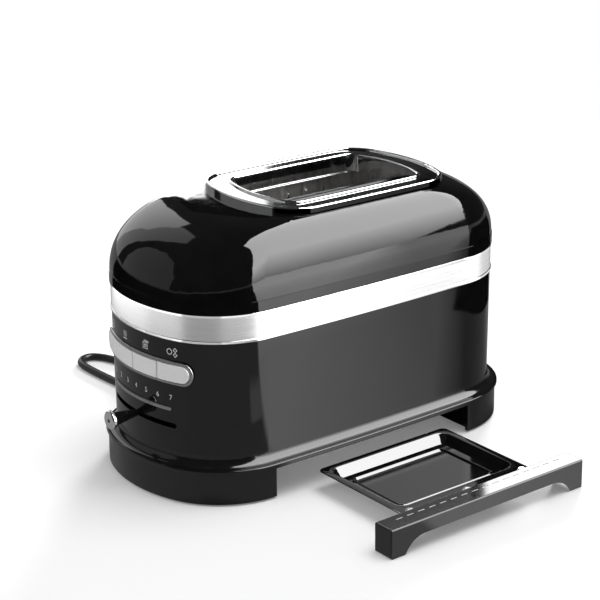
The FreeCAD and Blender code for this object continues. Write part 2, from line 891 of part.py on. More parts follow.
def lift_motor():
    """Geared motor can with a bored nose for the pinion's shaft."""
    can_rad, can_len = 12.0, 30.0
    bore_deep = 15.0
    face = Vector(motor_face, gear_y, size("gear_z"))
    can = Part.makeCylinder(can_rad, can_len, face - ALONG * (can_len + nose_len), ALONG)
    nose = Part.makeCylinder(nose_rad, nose_len, face - ALONG * nose_len, ALONG)
    bore = Part.makeCylinder(shaft_rad + 0.1, bore_deep + 1, face - ALONG * bore_deep, ALONG)
    return can.fuse(nose).cut(bore)


node(feature("LiftMotor", lift_motor()), "lift_motor")


def motor_bracket():
    """Upright sheet bracket that stands on the chassis plate and holds the motor."""
    wall = 1.5
    half = 14.0
    x1 = motor_face - 0.5
    plate = block(x1 - wall, x1, gear_y - half, gear_y + half, plate_top, size("gear_z") + half + 1)
    foot = block(x1 - half, x1, gear_y - half, gear_y + half, plate_top, plate_top + wall)
    nose = Part.makeCylinder(nose_rad + 0.1, 10, Vector(x1 - 5, gear_y, size("gear_z")), ALONG)
    return plate.fuse(foot).cut(nose)


node(feature("MotorBracket", motor_bracket()), "motor_bracket")

rod_top = size("dome_top") - 22
rod_tall = f"dome_top - 22 - {plate_up}"
rods = [
    rod(f"GuideRod{k}", ("rod_x", f"{sign}rod_y", plate_up), "rod_rad", rod_tall)
    for k, sign in enumerate(("-", ""))
]
node(group("GuideRods", rods), "guide_rods")


def rod_bridge():
    """Cross piece that ties the rod tops to the chamber's front end."""
    wall = 2.0
    reach = size("rod_y") + 6
    x1 = slot_mid - size("frame_len") / 2 + size("rail_wid") - 3 - size("chamber_wall")
    made = block(size("rod_x") - 6, x1, -reach, reach, rod_top, rod_top + wall)
    return made


node(feature("RodBridge", rod_bridge()), "rod_bridge")

# --- controls ------------------------------------------------------------------


def button_bezel():
    """Oblong rim round the buttons, let into the shell."""
    r_out = face_r + size("bezel_proud")
    r_in = skin_r - 2.5
    gap = size("button_gap")
    low = size("button_low")
    hole_angle = button_half + math.degrees(gap / face_r)
    neck_gap = gap + bezel / 2 - 0.1
    neck_angle = button_half + math.degrees(neck_gap / face_r)
    neck = pill(r_in, face_r + 0.05, neck_angle, low - neck_gap, button_top + neck_gap)
    rim = pill(face_r + 0.05, r_out, bezel_half, low - gap - bezel, button_top + gap + bezel)
    hole = pill(r_in - 1, r_out + 1, hole_angle, low - gap, button_top + gap)
    made = neck.fuse(rim).cut(hole).removeSplitter()
    return made.makeFillet(0.6, edges_at_radius(made, r_out))


node(feature("ButtonBezel", button_bezel()), "button_bezel")

switch_x = size("panel_x") - 1.6 - 5.0


def button(index):
    """One key: a curved cap with a stem that reaches towards its switch."""
    pitch = size("button_pitch")
    middle = (index - 1.5) * pitch
    gap_angle = math.degrees(size("button_gap") / face_r)
    r_in = skin_r - 2.0
    r_out = face_r + size("button_proud")
    low = size("button_low")
    if index in (0, 3):
        outward = -1 if index == 0 else 1
        whole = pill(r_in, r_out, button_half, low, button_top)
        share = sector(r_in, r_out, pitch, low, button_top, middle + outward * (pitch / 2 + gap_angle))
        cap = whole.common(share).removeSplitter()
    else:
        cap = sector(r_in, r_out, pitch / 2 - gap_angle, low, button_top, middle)
    cap = cap.makeFillet(0.6, edges_at_radius(cap, r_out))
    turn = math.radians(180 + middle)
    z = size("button_low") + size("button_tall") / 2
    stop_x = switch_x - size("button_run") - 0.6
    stop_r = (stop_x - end_mid_x) / math.cos(turn)
    stem = radial_rod(middle, stop_r, r_in + 0.5, z, 2.0)
    return cap.fuse(stem).removeSplitter()


for index in range(4):
    node(feature(f"Button{index + 1}", button(index)), f"button_{index + 1}")


def control_board():
    """Circuit board behind the controls."""
    x = size("panel_x")
    return block(x - 1.6, x, -46, 46, 45, 116)


node(feature("ControlBoard", control_board()), "control_board")


def board_bracket():
    """Folded sheet stand for the circuit board."""
    x = size("panel_x")
    wall = 1.2
    upright = block(x, x + wall, -30, 30, plate_top, 70)
    return upright.fuse(block(x, x + 14, -30, 30, plate_top, plate_top + wall))


node(feature("BoardBracket", board_bracket()), "board_bracket")


def key_switch(index):
    """Small switch on the board, in line with one button's stem."""
    turn = math.radians(180 + (index - 1.5) * size("button_pitch"))
    z = size("button_low") + size("button_tall") / 2
    y = (switch_x - end_mid_x) * math.tan(turn)
    return block(switch_x, size("panel_x") - 1.6, y - 3, y + 3, z - 3, z + 3)


node(feature("KeySwitches", Part.makeCompound([key_switch(i) for i in range(4)])), "key_switches")


def light_bar():
    """Clear light guide above the shade scale."""
    low = size("light_z")
    tall = size("light_tall")
    return pill(skin_r - 1.0, face_r + 0.5, light_half - 0.15, low + 0.15, low + tall - 0.15)


node(feature("LightBar", light_bar()), "light_bar")

rail_r = skin_r - 11.0


def shade_rail():
    """Curved track inside the shell that the shade lever's slider rides on."""
    low = size("shade_z") - 6
    top = size("shade_z") + 6
    half = slot_half + 4
    made = sector(rail_r - 2, rail_r, half, low, top)
    for s in (-1, 1):
        made = made.fuse(sector(rail_r - 1, skin_r - 1.1, 1.0, low, top, s * (half - 1)))
    return made.removeSplitter()


node(feature("ShadeRail", shade_rail()), "shade_rail")


def shade_slider():
    """Slider block inside the shell that carries the lever's neck."""
    return sector(rail_r + clear, rail_r + 4.5, 3.0, size("shade_z") - 5, size("shade_z") + 5)


node(feature("ShadeSlider", shade_slider()), "shade_slider")


def shade_stem():
    """Neck through the slot and the tapered grip outside."""
    z = size("shade_z")
    neck_r = 1.6
    grip_start = face_r + 0.8
    neck = radial_rod(0, rail_r + 4.5, grip_start + 1, z, neck_r)
    grip = radial_rod(0, grip_start, face_r + size("stem_len"), z, 2.6, size("cap_rad") - 1.6)
    return neck.fuse(grip).removeSplitter()


node(feature("ShadeStem", shade_stem()), "shade_stem")


def shade_cap():
    """Bright disc on the end of the grip, with a rounded rim and a small centre dimple."""
    start = face_r + size("stem_len")
    thick = size("cap_thick")
    disc = radial_rod(0, start, start + thick, size("shade_z"), size("cap_rad"))
    rims = [e for e in disc.Edges if e.Curve.TypeId == "Part::GeomCircle"]
    disc = disc.makeFillet(thick * 0.35, rims)
    dimple = radial_rod(0, start + thick - 1.0, start + thick + 1, size("shade_z"), 1.8)
    return disc.cut(dimple)


node(feature("ShadeCap", shade_cap()), "shade_cap")

# --- crumb tray ----------------------------------------------------------------


def tray_bar():
    """Front bar of the tray: two feet with a finger arch between, vent slits and a rear ledge."""
    half = size("bar_half")
    front = size("bar_front")
    deep = size("bar_deep")
    low = size("bar_clear")
    top = size("bar_tall")
    foot = half - size("arch_foot")
    crown = foot - size("arch_run")
    arch_z = size("arch_tall")

    def spot(x, z):
        return Vector(x, front, z)

    bend_x = crown + (foot - crown) * 0.62
    bend_z = low + (arch_z - low) * 0.72
    edges = [
        Part.LineSegment(spot(-half, low), spot(-half, top)),
        Part.LineSegment(spot(-half, top), spot(half, top)),
        Part.LineSegment(spot(half, top), spot(half, low)),
        Part.LineSegment(spot(half, low), spot(foot, low)),
        Part.Arc(spot(foot, low), spot(bend_x, bend_z), spot(crown, arch_z)),
        Part.LineSegment(spot(crown, arch_z), spot(-crown, arch_z)),
        Part.Arc(spot(-crown, arch_z), spot(-bend_x, bend_z), spot(-foot, low)),
        Part.LineSegment(spot(-foot, low), spot(-half, low)),
    ]
    made = Part.Face(Part.Wire([e.toShape() for e in edges])).extrude(Vector(0, deep, 0))

    def outer_edge(edge):
        ends = [v.Point for v in edge.Vertexes]
        level = all(abs(p.z - top) < 1e-6 for p in ends)
        upright = all(abs(abs(p.x) - half) < 1e-6 for p in ends)
        return level or upright

    made = made.makeFillet(1.2, [e for e in made.Edges if outer_edge(e)])
    vents = 16
    pitch = (2 * half - 24) / vents
    slit_y = front + deep * 0.62
    for k in range(vents):
        x = -half + 12 + (k + 0.2) * pitch
        made = made.cut(block(x, x + pitch * 0.6, slit_y, slit_y + 1.1, top - 1.0, top + 1))
    ledge_top = size("pan_top") - size("pan_sheet")
    ledge = block(
        -size("pan_half") + 5,
        size("pan_half") - 5,
        front + deep - 0.5,
        front + deep + size("pan_flange") - 3,
        ledge_top - 4,
        ledge_top,
    )
    return made.fuse(ledge).removeSplitter()


node(feature("TrayBar", tray_bar()), "tray_bar")

pan_near = size("bar_front") + size("bar_deep")


def tray_pan():
    """Pressed pan: a flat rim, a bowl and a shallow panel in its floor."""
    half = size("pan_half")
    far = size("pan_far")
    top = size("pan_top")
    wall = size("pan_sheet")
    deep = size("pan_deep")
    rim = size("pan_rim")
    near = pan_near + size("pan_flange")
    sheet_slab = rounded_block(-half, half, pan_near, far, top - wall, top, 4.0)
    top_edges = [e for e in sheet_slab.Edges if e.BoundBox.ZMin > top - 1e-6]
    sheet_slab = sheet_slab.makeFillet(wall * 0.4, top_edges)
    bowl_out = rounded_block(-half + rim, half - rim, near, far - rim, top - deep, top - wall / 2, 7.0)
    bowl_half = half - rim - wall
    bowl_far = far - rim - wall
    bowl_in = rounded_block(-bowl_half, bowl_half, near + wall, bowl_far, top - deep + wall, top + 1, 6.0)
    inset = rim + 10
    floor = top - deep
    panel_half = half - inset
    panel_near = near + 9
    panel_far = far - inset
    panel_out = rounded_block(-panel_half, panel_half, panel_near, panel_far, floor - 1.5, floor + 0.5, 5.0)
    panel_half -= wall
    panel_near += wall
    panel_far -= wall
    panel_in = rounded_block(-panel_half, panel_half, panel_near, panel_far, floor - 0.5, top, 4.0)
    made = sheet_slab.fuse([bowl_out, panel_out]).cut(bowl_in).removeSplitter()

    def on_mouth(edge):
        span = edge.BoundBox
        inside = span.YMin > near and max(-span.XMin, span.XMax) < half - rim
        return inside and span.ZMin > top - 1e-6

    mouth = [e for e in made.Edges if on_mouth(e)]
    return made.makeFillet(wall * 0.7, mouth).cut(panel_in).removeSplitter()


node(feature("TrayPan", tray_pan()), "tray_pan")


def tray_screw(x):
    """Pan-head screw through the rim into the bar's ledge."""
    y = pan_near + size("pan_flange") / 2 - 0.5
    top = size("pan_top")
    head = Part.makeCylinder(3.2, 1.4, Vector(x, y, top))
    head = head.makeFillet(0.9, [e for e in head.Edges if abs(e.BoundBox.ZMin - top - 1.4) < 1e-6])
    drive = block(x - 2.0, x + 2.0, y - 0.4, y + 0.4, top + 0.7, top + 2)
    cross = block(x - 0.4, x + 0.4, y - 2.0, y + 2.0, top + 0.7, top + 2)
    return head.cut(drive).cut(cross)


screw_xs = [k * (size("pan_half") - 8) for k in (-1, 0, 1)]
node(feature("TrayScrews", Part.makeCompound([tray_screw(x) for x in screw_xs])), "tray_screws")

# --- mains lead ----------------------------------------------------------------

side_y = size("body_wid") / 2 + size("skirt_out")
relief_out = 2.0
relief_len = 26.0
cord_r = size("cord_dia") / 2


def cord_gland():
    """Collar in the base wall that holds the lead's strain relief."""
    x, z = size("gland_x"), size("gland_z")
    inside = 14.0
    brim_rad, brim_thick, brim_gap = 8.0, 1.5, 0.2
    collar = Part.makeCylinder(gland_rad, inside + 0.5, Vector(x, side_y - inside, z), OUT_BACK)
    brim = Part.makeCylinder(brim_rad, brim_thick, Vector(x, side_y + brim_gap, z), OUT_BACK)
    bore = Part.makeCylinder(gland_bore, 2 * inside + 10, Vector(x, side_y - inside - 5, z), OUT_BACK)
    return collar.fuse(brim).cut(bore)


node(feature("CordGland", cord_gland()), "cord_gland")


def strain_relief():
    """Tapered sleeve that the lead leaves through."""
    x, z = size("gland_x"), size("gland_z")
    inside = 12.0
    tip_wall = 0.6
    inner = Part.makeCylinder(gland_bore, inside + relief_out, Vector(x, side_y - inside, z), OUT_BACK)
    root = Vector(x, side_y + relief_out, z)
    sleeve = Part.makeCone(gland_bore, cord_r + tip_wall, relief_len, root, OUT_BACK)
    return inner.fuse(sleeve).removeSplitter()


node(feature("StrainRelief", strain_relief()), "strain_relief")

lead_start = Vector(size("gland_x"), side_y + relief_out + relief_len, size("gland_z"))
rest_z = cord_r + 0.1
# x, distance behind the base, z
lead_run = [
    (-66.6, 46.5, 9.5),
    (-67.6, 65.5, 5.0),
    (-69.0, 87.5, rest_z),
    (-70.5, 113.5, rest_z),
    (-71.0, 137.5, rest_z),
    (-66.5, 150.5, rest_z),
    (-55.5, 154.5, rest_z),
    (-46.5, 144.5, rest_z),
    (-41.0, 126.5, rest_z),
    (-30.0, 108.5, rest_z),
    (-10.0, 97.5, rest_z),
    (14.0, 99.5, rest_z),
    (35.0, 109.5, rest_z),
    (52.0, 115.5, rest_z),
]
route = [lead_start] + [Vector(x, side_y + away, z) for x, away, z in lead_run]


def tube(points, radius, label):
    """A tube of straight runs joined by tangent arcs as large as the runs allow."""
    edges = []
    here = points[0]
    radii = []
    for before, corner, after in zip(points, points[1:], points[2:]):
        come = (corner - before).normalize()
        leave = (after - corner).normalize()
        half_turn = come.getAngle(leave) / 2
        shorter = min((corner - before).Length, (after - corner).Length)
        trim = 0.45 * shorter
        bend = trim / math.tan(half_turn)
        radii.append(bend)
        start = corner - come * trim
        stop = corner + leave * trim
        toward = (leave - come).normalize()
        middle = corner + toward * (bend / math.cos(half_turn) - bend)
        edges.append(Part.LineSegment(here, start).toShape())
        edges.append(Part.Arc(start, middle, stop).toShape())
        here = stop
    edges.append(Part.LineSegment(here, points[-1]).toShape())
    path = Part.Wire(edges)
    way = (points[1] - points[0]).normalize()
    section = Part.Wire(Part.makeCircle(radius, points[0], way))
    made = path.makePipeShell([section], True, False)
    expected = math.pi * radius**2 * path.Length
    print(f"{label}: length {path.Length:.1f}, radii {[round(b, 1) for b in radii]}")
    print(f"{label}: volume over section times length {made.Volume / expected:.4f}")
    return made


node(feature("PowerCord", tube(route, cord_r, "power cord")), "power_cord")


def cord_coil():
    """Outer form of the wound spare length: a ring with rounded edges."""
    rim_round = 2.6
    centre = Vector(size("coil_x"), size("coil_y"), 0.2)
    half = size("coil_half")
    tall = 2 * size("cord_dia")
    outer = Part.makeCylinder(size("coil_mid_rad") + half, tall, centre)
    inner = Part.makeCylinder(size("coil_mid_rad") - half, tall, centre)
    ring = outer.cut(inner)
    rims = [e for e in ring.Edges if e.Curve.TypeId == "Part::GeomCircle" and e.isClosed()]
    return ring.makeFillet(rim_round, rims)


node(feature("CordCoil", cord_coil()), "cord_coil")

plug_y = size("coil_y") - size("coil_mid_rad") - size("coil_half") + cord_r + 0.6
plug_z = size("plug_tall") / 2 + 0.2
plug_rear_x = size("coil_x") - 34.0


def plug_body():
    """Moulded plug with a ribbed grip, lying on its flat side."""
    length, wide, tall = size("plug_len"), size("plug_wid"), size("plug_tall")
    x1 = plug_rear_x
    y0, z0 = plug_y - wide / 2, plug_z - tall / 2
    made = block(x1 - length, x1, y0, y0 + wide, z0, z0 + tall)
    side_round, rear_bevel = 3.5, 1.2
    made = made.makeFillet(side_round, [e for e in made.Edges if e.BoundBox.XLength > 1])
    rear = [e for e in made.Edges if abs(e.BoundBox.XMin - x1) < 1e-6 and e.BoundBox.XLength < 1e-6]
    return made.makeChamfer(rear_bevel, rear)


node(feature("PlugBody", plug_body()), "plug_body")


def plug_relief():
    """Tapered tail of the plug, where the lead enters."""
    root_rad, tail_len, tip_wall = 6.0, 17.0, 0.8
    return Part.makeCone(root_rad, cord_r + tip_wall, tail_len, Vector(plug_rear_x, plug_y, plug_z), ALONG)


node(feature("PlugRelief", plug_relief()), "plug_relief")


def plug_pins():
    """Two flat blades and a round earth pin."""
    x1 = plug_rear_x - size("plug_len")
    reach = 17.0
    apart, blade_thick, blade_wid = 12.7, 1.5, 6.3
    earth_rad, earth_longer, earth_up = 2.4, 2.0, 5.5
    blade_top = plug_z + 0.3
    blades = []
    for s in (-1, 1):
        y = plug_y + s * apart / 2
        sides = (y - blade_thick / 2, y + blade_thick / 2)
        blades.append(block(x1 - reach, x1, *sides, blade_top - blade_wid, blade_top))
    earth_len = reach + earth_longer
    earth = Part.makeCylinder(earth_rad, earth_len, Vector(x1 - earth_len, plug_y, plug_z + earth_up), ALONG)
    return Part.makeCompound(blades + [earth])


node(feature("PlugPins", plug_pins()), "plug_pins")


def terminal_block():
    """Block on the chassis plate where the lead's wires end."""
    x = size("gland_x")
    y = size("body_wid") / 2 - 26
    deep = 12.0
    return block(x - 16, x + 6, y, y + deep, plate_top, plate_top + deep)


node(feature("TerminalBlock", terminal_block()), "terminal_block")

# --- checks and export ---------------------------------------------------------

doc.recompute()
for thing in doc.Objects:
    if {"Invalid", "Error"} & set(thing.State):
        raise RuntimeError(f"{thing.Label} failed: {thing.State}")
for sub_part in nodes:
    if sub_part.Shape.isNull() or not sub_part.Shape.isValid() or not sub_part.Shape.Solids:
        raise RuntimeError(f"{sub_part.Label} has no valid solid")
os.makedirs("parts", exist_ok=True)
for sub_part in nodes:
    sub_part.Shape.exportStep(f"parts/{sub_part.Label}.step")
print(f"{len(nodes)} sub-parts written")
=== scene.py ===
"""Looks of the pop up toaster with its crumb tray drawn out.

Lengths are in metres, save where a comment says millimetres. The near side faces -Y, and the
control end faces -X.
"""

import json
import math

import bmesh
import bpy
from mathutils import Matrix, Vector

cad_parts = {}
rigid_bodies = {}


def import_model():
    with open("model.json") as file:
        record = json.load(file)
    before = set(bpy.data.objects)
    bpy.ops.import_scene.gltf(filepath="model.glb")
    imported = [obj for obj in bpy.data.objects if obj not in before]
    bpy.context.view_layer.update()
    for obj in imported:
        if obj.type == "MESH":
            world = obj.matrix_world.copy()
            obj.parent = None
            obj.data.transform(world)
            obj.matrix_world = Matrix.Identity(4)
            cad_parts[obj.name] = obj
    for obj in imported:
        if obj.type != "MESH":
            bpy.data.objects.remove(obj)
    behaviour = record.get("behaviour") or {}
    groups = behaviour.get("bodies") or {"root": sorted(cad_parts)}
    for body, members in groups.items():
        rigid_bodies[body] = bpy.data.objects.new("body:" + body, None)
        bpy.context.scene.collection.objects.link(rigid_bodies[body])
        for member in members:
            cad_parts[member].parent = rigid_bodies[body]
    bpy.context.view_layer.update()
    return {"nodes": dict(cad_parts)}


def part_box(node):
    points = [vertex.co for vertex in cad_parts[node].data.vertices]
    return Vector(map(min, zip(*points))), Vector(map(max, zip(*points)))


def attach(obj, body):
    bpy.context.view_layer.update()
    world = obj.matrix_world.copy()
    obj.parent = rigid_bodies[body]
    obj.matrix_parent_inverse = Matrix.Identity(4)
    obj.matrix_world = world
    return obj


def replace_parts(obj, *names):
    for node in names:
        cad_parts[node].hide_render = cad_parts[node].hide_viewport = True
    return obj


for left_over in list(bpy.data.objects):
    bpy.data.objects.remove(left_over)

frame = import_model()
nodes = frame["nodes"]
MM = 0.001

# --- camera --------------------------------------------------------------------

CAMERA_AT = Vector((-0.8215, -1.0687, 0.5823))
# Both angles are in radians.
CAMERA_HEADING = 0.888
CAMERA_DIP = 0.285


def place_camera():
    """A long lens, level with the horizon, that looks down on the control end."""
    lens = bpy.data.cameras.new("camera")
    lens.lens = 109.97
    lens.sensor_width = 36.0
    lens.shift_x = -0.0905
    lens.shift_y = -0.1616
    lens.clip_start = 0.05
    lens.clip_end = 60.0
    camera = bpy.data.objects.new("camera", lens)
    ahead = Vector(
        (
            math.cos(CAMERA_HEADING) * math.cos(CAMERA_DIP),
            math.sin(CAMERA_HEADING) * math.cos(CAMERA_DIP),
            -math.sin(CAMERA_DIP),
        )
    )
    camera.location = CAMERA_AT
    camera.rotation_mode = "QUATERNION"
    camera.rotation_quaternion = ahead.to_track_quat("-Z", "Y")
    bpy.context.scene.collection.objects.link(camera)
    bpy.context.scene.camera = camera


place_camera()

# --- finishes ------------------------------------------------------------------


def bare(name):
    """A named finish with only its output."""
    made = bpy.data.materials.new(name)
    made.use_nodes = True
    tree = made.node_tree
    tree.nodes.clear()
    return made, tree, tree.nodes.new("ShaderNodeOutputMaterial")


def blank(name):
    """A named finish with only its shader, ready for its textures."""
    made, tree, out = bare(name)
    shader = tree.nodes.new("ShaderNodeBsdfPrincipled")
    tree.links.new(shader.outputs["BSDF"], out.inputs["Surface"])
    return made, tree, shader


def spot_on(tree):
    """The place on the piece, as one vector."""
    return tree.nodes.new("ShaderNodeTexCoord").outputs["Object"]


def split(tree, vector):
    """The X, Y and Z of a vector."""
    axes = tree.nodes.new("ShaderNodeSeparateXYZ")
    tree.links.new(vector, axes.inputs["Vector"])
    return axes.outputs


def grain(tree, scale, stretch=(1, 1, 1), detail=3.0):
    """Noise through the piece. An axis with a small stretch has long streaks."""
    place = tree.nodes.new("ShaderNodeMapping")
    place.inputs["Scale"].default_value = stretch
    noise = tree.nodes.new("ShaderNodeTexNoise")
    noise.inputs["Scale"].default_value = scale
    noise.inputs["Detail"].default_value = detail
    tree.links.new(spot_on(tree), place.inputs["Vector"])
    tree.links.new(place.outputs["Vector"], noise.inputs["Vector"])
    return noise.outputs["Fac"]


def calc(tree, operation, *values):
    """One step of arithmetic on sockets and numbers."""
    step = tree.nodes.new("ShaderNodeMath")
    step.operation = operation
    for socket, value in zip(step.inputs, values):
        if isinstance(value, (int, float)):
            socket.default_value = value
        else:
            tree.links.new(value, socket)
    return step.outputs[0]


def product(tree, first, *others):
    """All the sockets and numbers multiplied together."""
    for other in others:
        first = calc(tree, "MULTIPLY", first, other)
    return first


def between(tree, amount, low, high, start=0.3, stop=0.7):
    """Low where the amount is at start, high where it is at stop."""
    span = tree.nodes.new("ShaderNodeMapRange")
    for word, value in (("From Min", start), ("From Max", stop), ("To Min", low), ("To Max", high)):
        span.inputs[word].default_value = value
    tree.links.new(amount, span.inputs["Value"])
    return span.outputs["Result"]


def tint(tree, amount, dark, light):
    """A colour from dark to light as the amount goes from 0 to 1."""
    mix = tree.nodes.new("ShaderNodeMix")
    mix.data_type = "RGBA"
    mix.inputs["A"].default_value = (*dark, 1)
    mix.inputs["B"].default_value = (*light, 1)
    tree.links.new(amount, mix.inputs["Factor"])
    return mix.outputs["Result"]


def dent(tree, shader, height, depth):
    """Raises the surface by up to that depth where the height is 1."""
    bump = tree.nodes.new("ShaderNodeBump")
    bump.inputs["Distance"].default_value = depth
    tree.links.new(height, bump.inputs["Height"])
    tree.links.new(bump.outputs["Normal"], shader.inputs["Normal"])


def finish(name, dark, light, rough, metal=0.0, scale=300.0, stretch=(1, 1, 1), depth=0.0, **fixed):
    """A finish whose colour, gloss and surface all vary with one grain."""
    made, tree, shader = blank(name)
    streaks = grain(tree, scale, stretch)
    share = between(tree, streaks, 0.0, 1.0)
    tree.links.new(tint(tree, share, dark, light), shader.inputs["Base Color"])
    tree.links.new(between(tree, streaks, *rough), shader.inputs["Roughness"])
    shader.inputs["Metallic"].default_value = metal
    for word, value in fixed.items():
        shader.inputs[word.replace("_", " ")].default_value = value
    if depth:
        dent(tree, shader, streaks, depth)
    return made


def grey(value, warm=0.0):
    """A near-neutral colour, pulled a little towards yellow or blue."""
    return (value * (1 + warm), value, value * (1 - warm))


def plated(name):
    """Bright plated steel, almost a mirror."""
    return finish(name, grey(0.78, -0.01), grey(0.86, -0.01), (0.05, 0.10), 1.0, scale=180, depth=6e-7)


# After its name, each has a dark and a light colour, its roughness from low to high, and how
# metallic it is.
ENAMEL = finish("black_enamel", grey(0.003), grey(0.005), (0.035, 0.06), scale=40, depth=2e-7)
# Pale colour for the strips in the bar's slits: painted light seen through the slits.
SLIT_LIGHT_PAINT = finish("slit_light_paint", grey(0.6), grey(0.72), (0.5, 0.6), scale=1500, depth=2e-6)
MOULDING = finish("base_plastic", grey(0.005), grey(0.008), (0.08, 0.13), scale=900, depth=1e-6)
PAN = finish("pan_enamel", grey(0.003), grey(0.005), (0.06, 0.1), scale=60, depth=5e-7, IOR=1.9)
BAR = finish("tray_bar_plastic", grey(0.004), grey(0.007), (0.1, 0.15), scale=1200, depth=1.2e-6)
GRIP = finish("grip_black", grey(0.006), grey(0.010), (0.08, 0.12), scale=500, depth=8e-7)
RUBBER = finish("foot_rubber", grey(0.018), grey(0.03), (0.6, 0.75), scale=700, depth=2e-5)
CHROME = plated("polished_steel")
FRAME_CHROME = plated("frame_chrome")
# The divider's near-black steel is painted shade, darker than bare steel would be.
SHADED_SATIN = finish("satin_steel_painted_shade", grey(0.03), grey(0.045), (0.3, 0.4), 1.0, scale=900, depth=1e-6)
KEY = finish("key_silver", grey(0.8), grey(0.84), (0.3, 0.38), 0.35, scale=2600, depth=4e-7)
RIM = finish("rim_chrome", grey(0.42), grey(0.5), (0.14, 0.2), 1.0, scale=400, depth=6e-7)
SCREW = finish("screw_steel", grey(0.6), grey(0.74), (0.12, 0.22), 1.0, scale=900, depth=2e-6)
ZINC = finish(
    "zinc_sheet", grey(0.42, -0.02), grey(0.6, -0.02), (0.28, 0.46), 1.0, scale=120, depth=4e-6
)
CHAMBER = finish("chamber_sheet", grey(0.5), grey(0.66), (0.12, 0.26), 1.0, 260, (1, 1, 0.06), 4e-6)
WIRE = finish("drawn_wire", grey(0.6), grey(0.74), (0.14, 0.22), 1.0, scale=500, depth=2e-6)
RACK = finish("rack_steel", grey(0.4), grey(0.56), (0.26, 0.4), 1.0, 300, (0.08, 1, 1), 5e-6)
NYLON = finish("gear_nylon", grey(0.68, 0.03), grey(0.78, 0.03), (0.4, 0.5), scale=400, depth=4e-6)
HEATER = finish("heater_ribbon", grey(0.27, 0.03), grey(0.42, 0.03), (0.3, 0.45), 1.0, scale=500)
CARRIER = finish("switch_black", grey(0.014), grey(0.024), (0.4, 0.55), scale=900, depth=5e-6)
LIGHT = finish("light_guide", grey(0.13), grey(0.17), (0.18, 0.26), scale=900, depth=1e-6)
INK = finish("printed_grey", grey(0.5), grey(0.58), (0.4, 0.5), scale=2500)
BRASS = finish(
    "pin_brass", (0.62, 0.55, 0.38), (0.72, 0.66, 0.5), (0.16, 0.28), 1.0, scale=700, depth=2e-6
)
SHEATH = finish("lead_sheath", grey(0.010), grey(0.016), (0.3, 0.42), scale=1500, depth=4e-6)
STRAP = finish("woven_strap", grey(0.02), grey(0.035), (0.7, 0.85), scale=2200, depth=8e-5)
MOTOR = finish("motor_can", grey(0.42), grey(0.52), (0.2, 0.32), 1.0, 500, (0.05, 1, 1), 3e-6)


def band_finish():
    """Brushed along its length, with both edge beads polished."""
    made, tree, shader = blank("brushed_band")
    low, high = (corner.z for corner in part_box("trim_band"))
    bead, bead_soft, bead_rough = 2.4 * MM, 0.1 * MM, 0.1
    brush_scale, brush_stretch, brush_detail, brush_depth = 900, (0.02, 0.02, 3.0), 4.0, 1.5e-6
    off_middle = calc(tree, "SUBTRACT", split(tree, spot_on(tree))["Z"], (low + high) / 2)
    edge = (high - low) / 2 - bead
    height = calc(tree, "ABSOLUTE", off_middle)
    polished = between(tree, height, 0.0, 1.0, edge - bead_soft, edge + bead_soft)
    streaks = grain(tree, brush_scale, brush_stretch, brush_detail)
    share = between(tree, streaks, 0.0, 1.0)
    colour = tree.nodes.new("ShaderNodeMix")
    colour.data_type = "RGBA"
    tree.links.new(polished, colour.inputs["Factor"])
    tree.links.new(tint(tree, share, grey(0.56), grey(0.68)), colour.inputs["A"])
    colour.inputs["B"].default_value = (*grey(0.86), 1)
    tree.links.new(colour.outputs["Result"], shader.inputs["Base Color"])
    gloss = tree.nodes.new("ShaderNodeMix")
    tree.links.new(polished, gloss.inputs["Factor"])
    tree.links.new(between(tree, streaks, 0.26, 0.36), gloss.inputs["A"])
    gloss.inputs["B"].default_value = bead_rough
    tree.links.new(gloss.outputs["Result"], shader.inputs["Roughness"])
    shader.inputs["Metallic"].default_value = 1.0
    dent(tree, shader, streaks, brush_depth)
    return made


def mica_finish():
    """Pressed flakes in a pale brown sheet."""
    made, tree, shader = blank("mica_sheet")
    flakes = tree.nodes.new("ShaderNodeTexVoronoi")
    flakes.inputs["Scale"].default_value = 180
    tree.links.new(spot_on(tree), flakes.inputs["Vector"])
    share = between(tree, flakes.outputs["Distance"], 0.0, 1.0, 0.1, 0.8)
    tree.links.new(tint(tree, share, grey(0.36, 0.04), grey(0.5, 0.04)), shader.inputs["Base Color"])
    tree.links.new(between(tree, share, 0.35, 0.6, 0, 1), shader.inputs["Roughness"])
    dent(tree, shader, flakes.outputs["Distance"], 1e-5)
    return made


def board_finish():
    """Green mask over square-cornered tracks."""
    made, tree, shader = blank("circuit_board")
    upright = tree.nodes.new("ShaderNodeMapping")
    upright.inputs["Rotation"].default_value = (0, math.radians(90), 0)
    tracks = tree.nodes.new("ShaderNodeTexBrick")
    tracks.inputs["Scale"].default_value = 120
    tracks.inputs["Mortar Size"].default_value = 0.08
    tracks.inputs["Color1"].default_value = (0.02, 0.10, 0.04, 1)
    tracks.inputs["Color2"].default_value = (0.03, 0.13, 0.05, 1)
    tracks.inputs["Mortar"].default_value = (0.06, 0.22, 0.08, 1)
    tree.links.new(spot_on(tree), upright.inputs["Vector"])
    tree.links.new(upright.outputs["Vector"], tracks.inputs["Vector"])
    tree.links.new(tracks.outputs["Color"], shader.inputs["Base Color"])
    tree.links.new(between(tree, tracks.outputs["Fac"], 0.25, 0.4, 0, 1), shader.inputs["Roughness"])
    dent(tree, shader, tracks.outputs["Fac"], 2e-5)
    return made


BAND = band_finish()
MICA = mica_finish()
BOARD = board_finish()

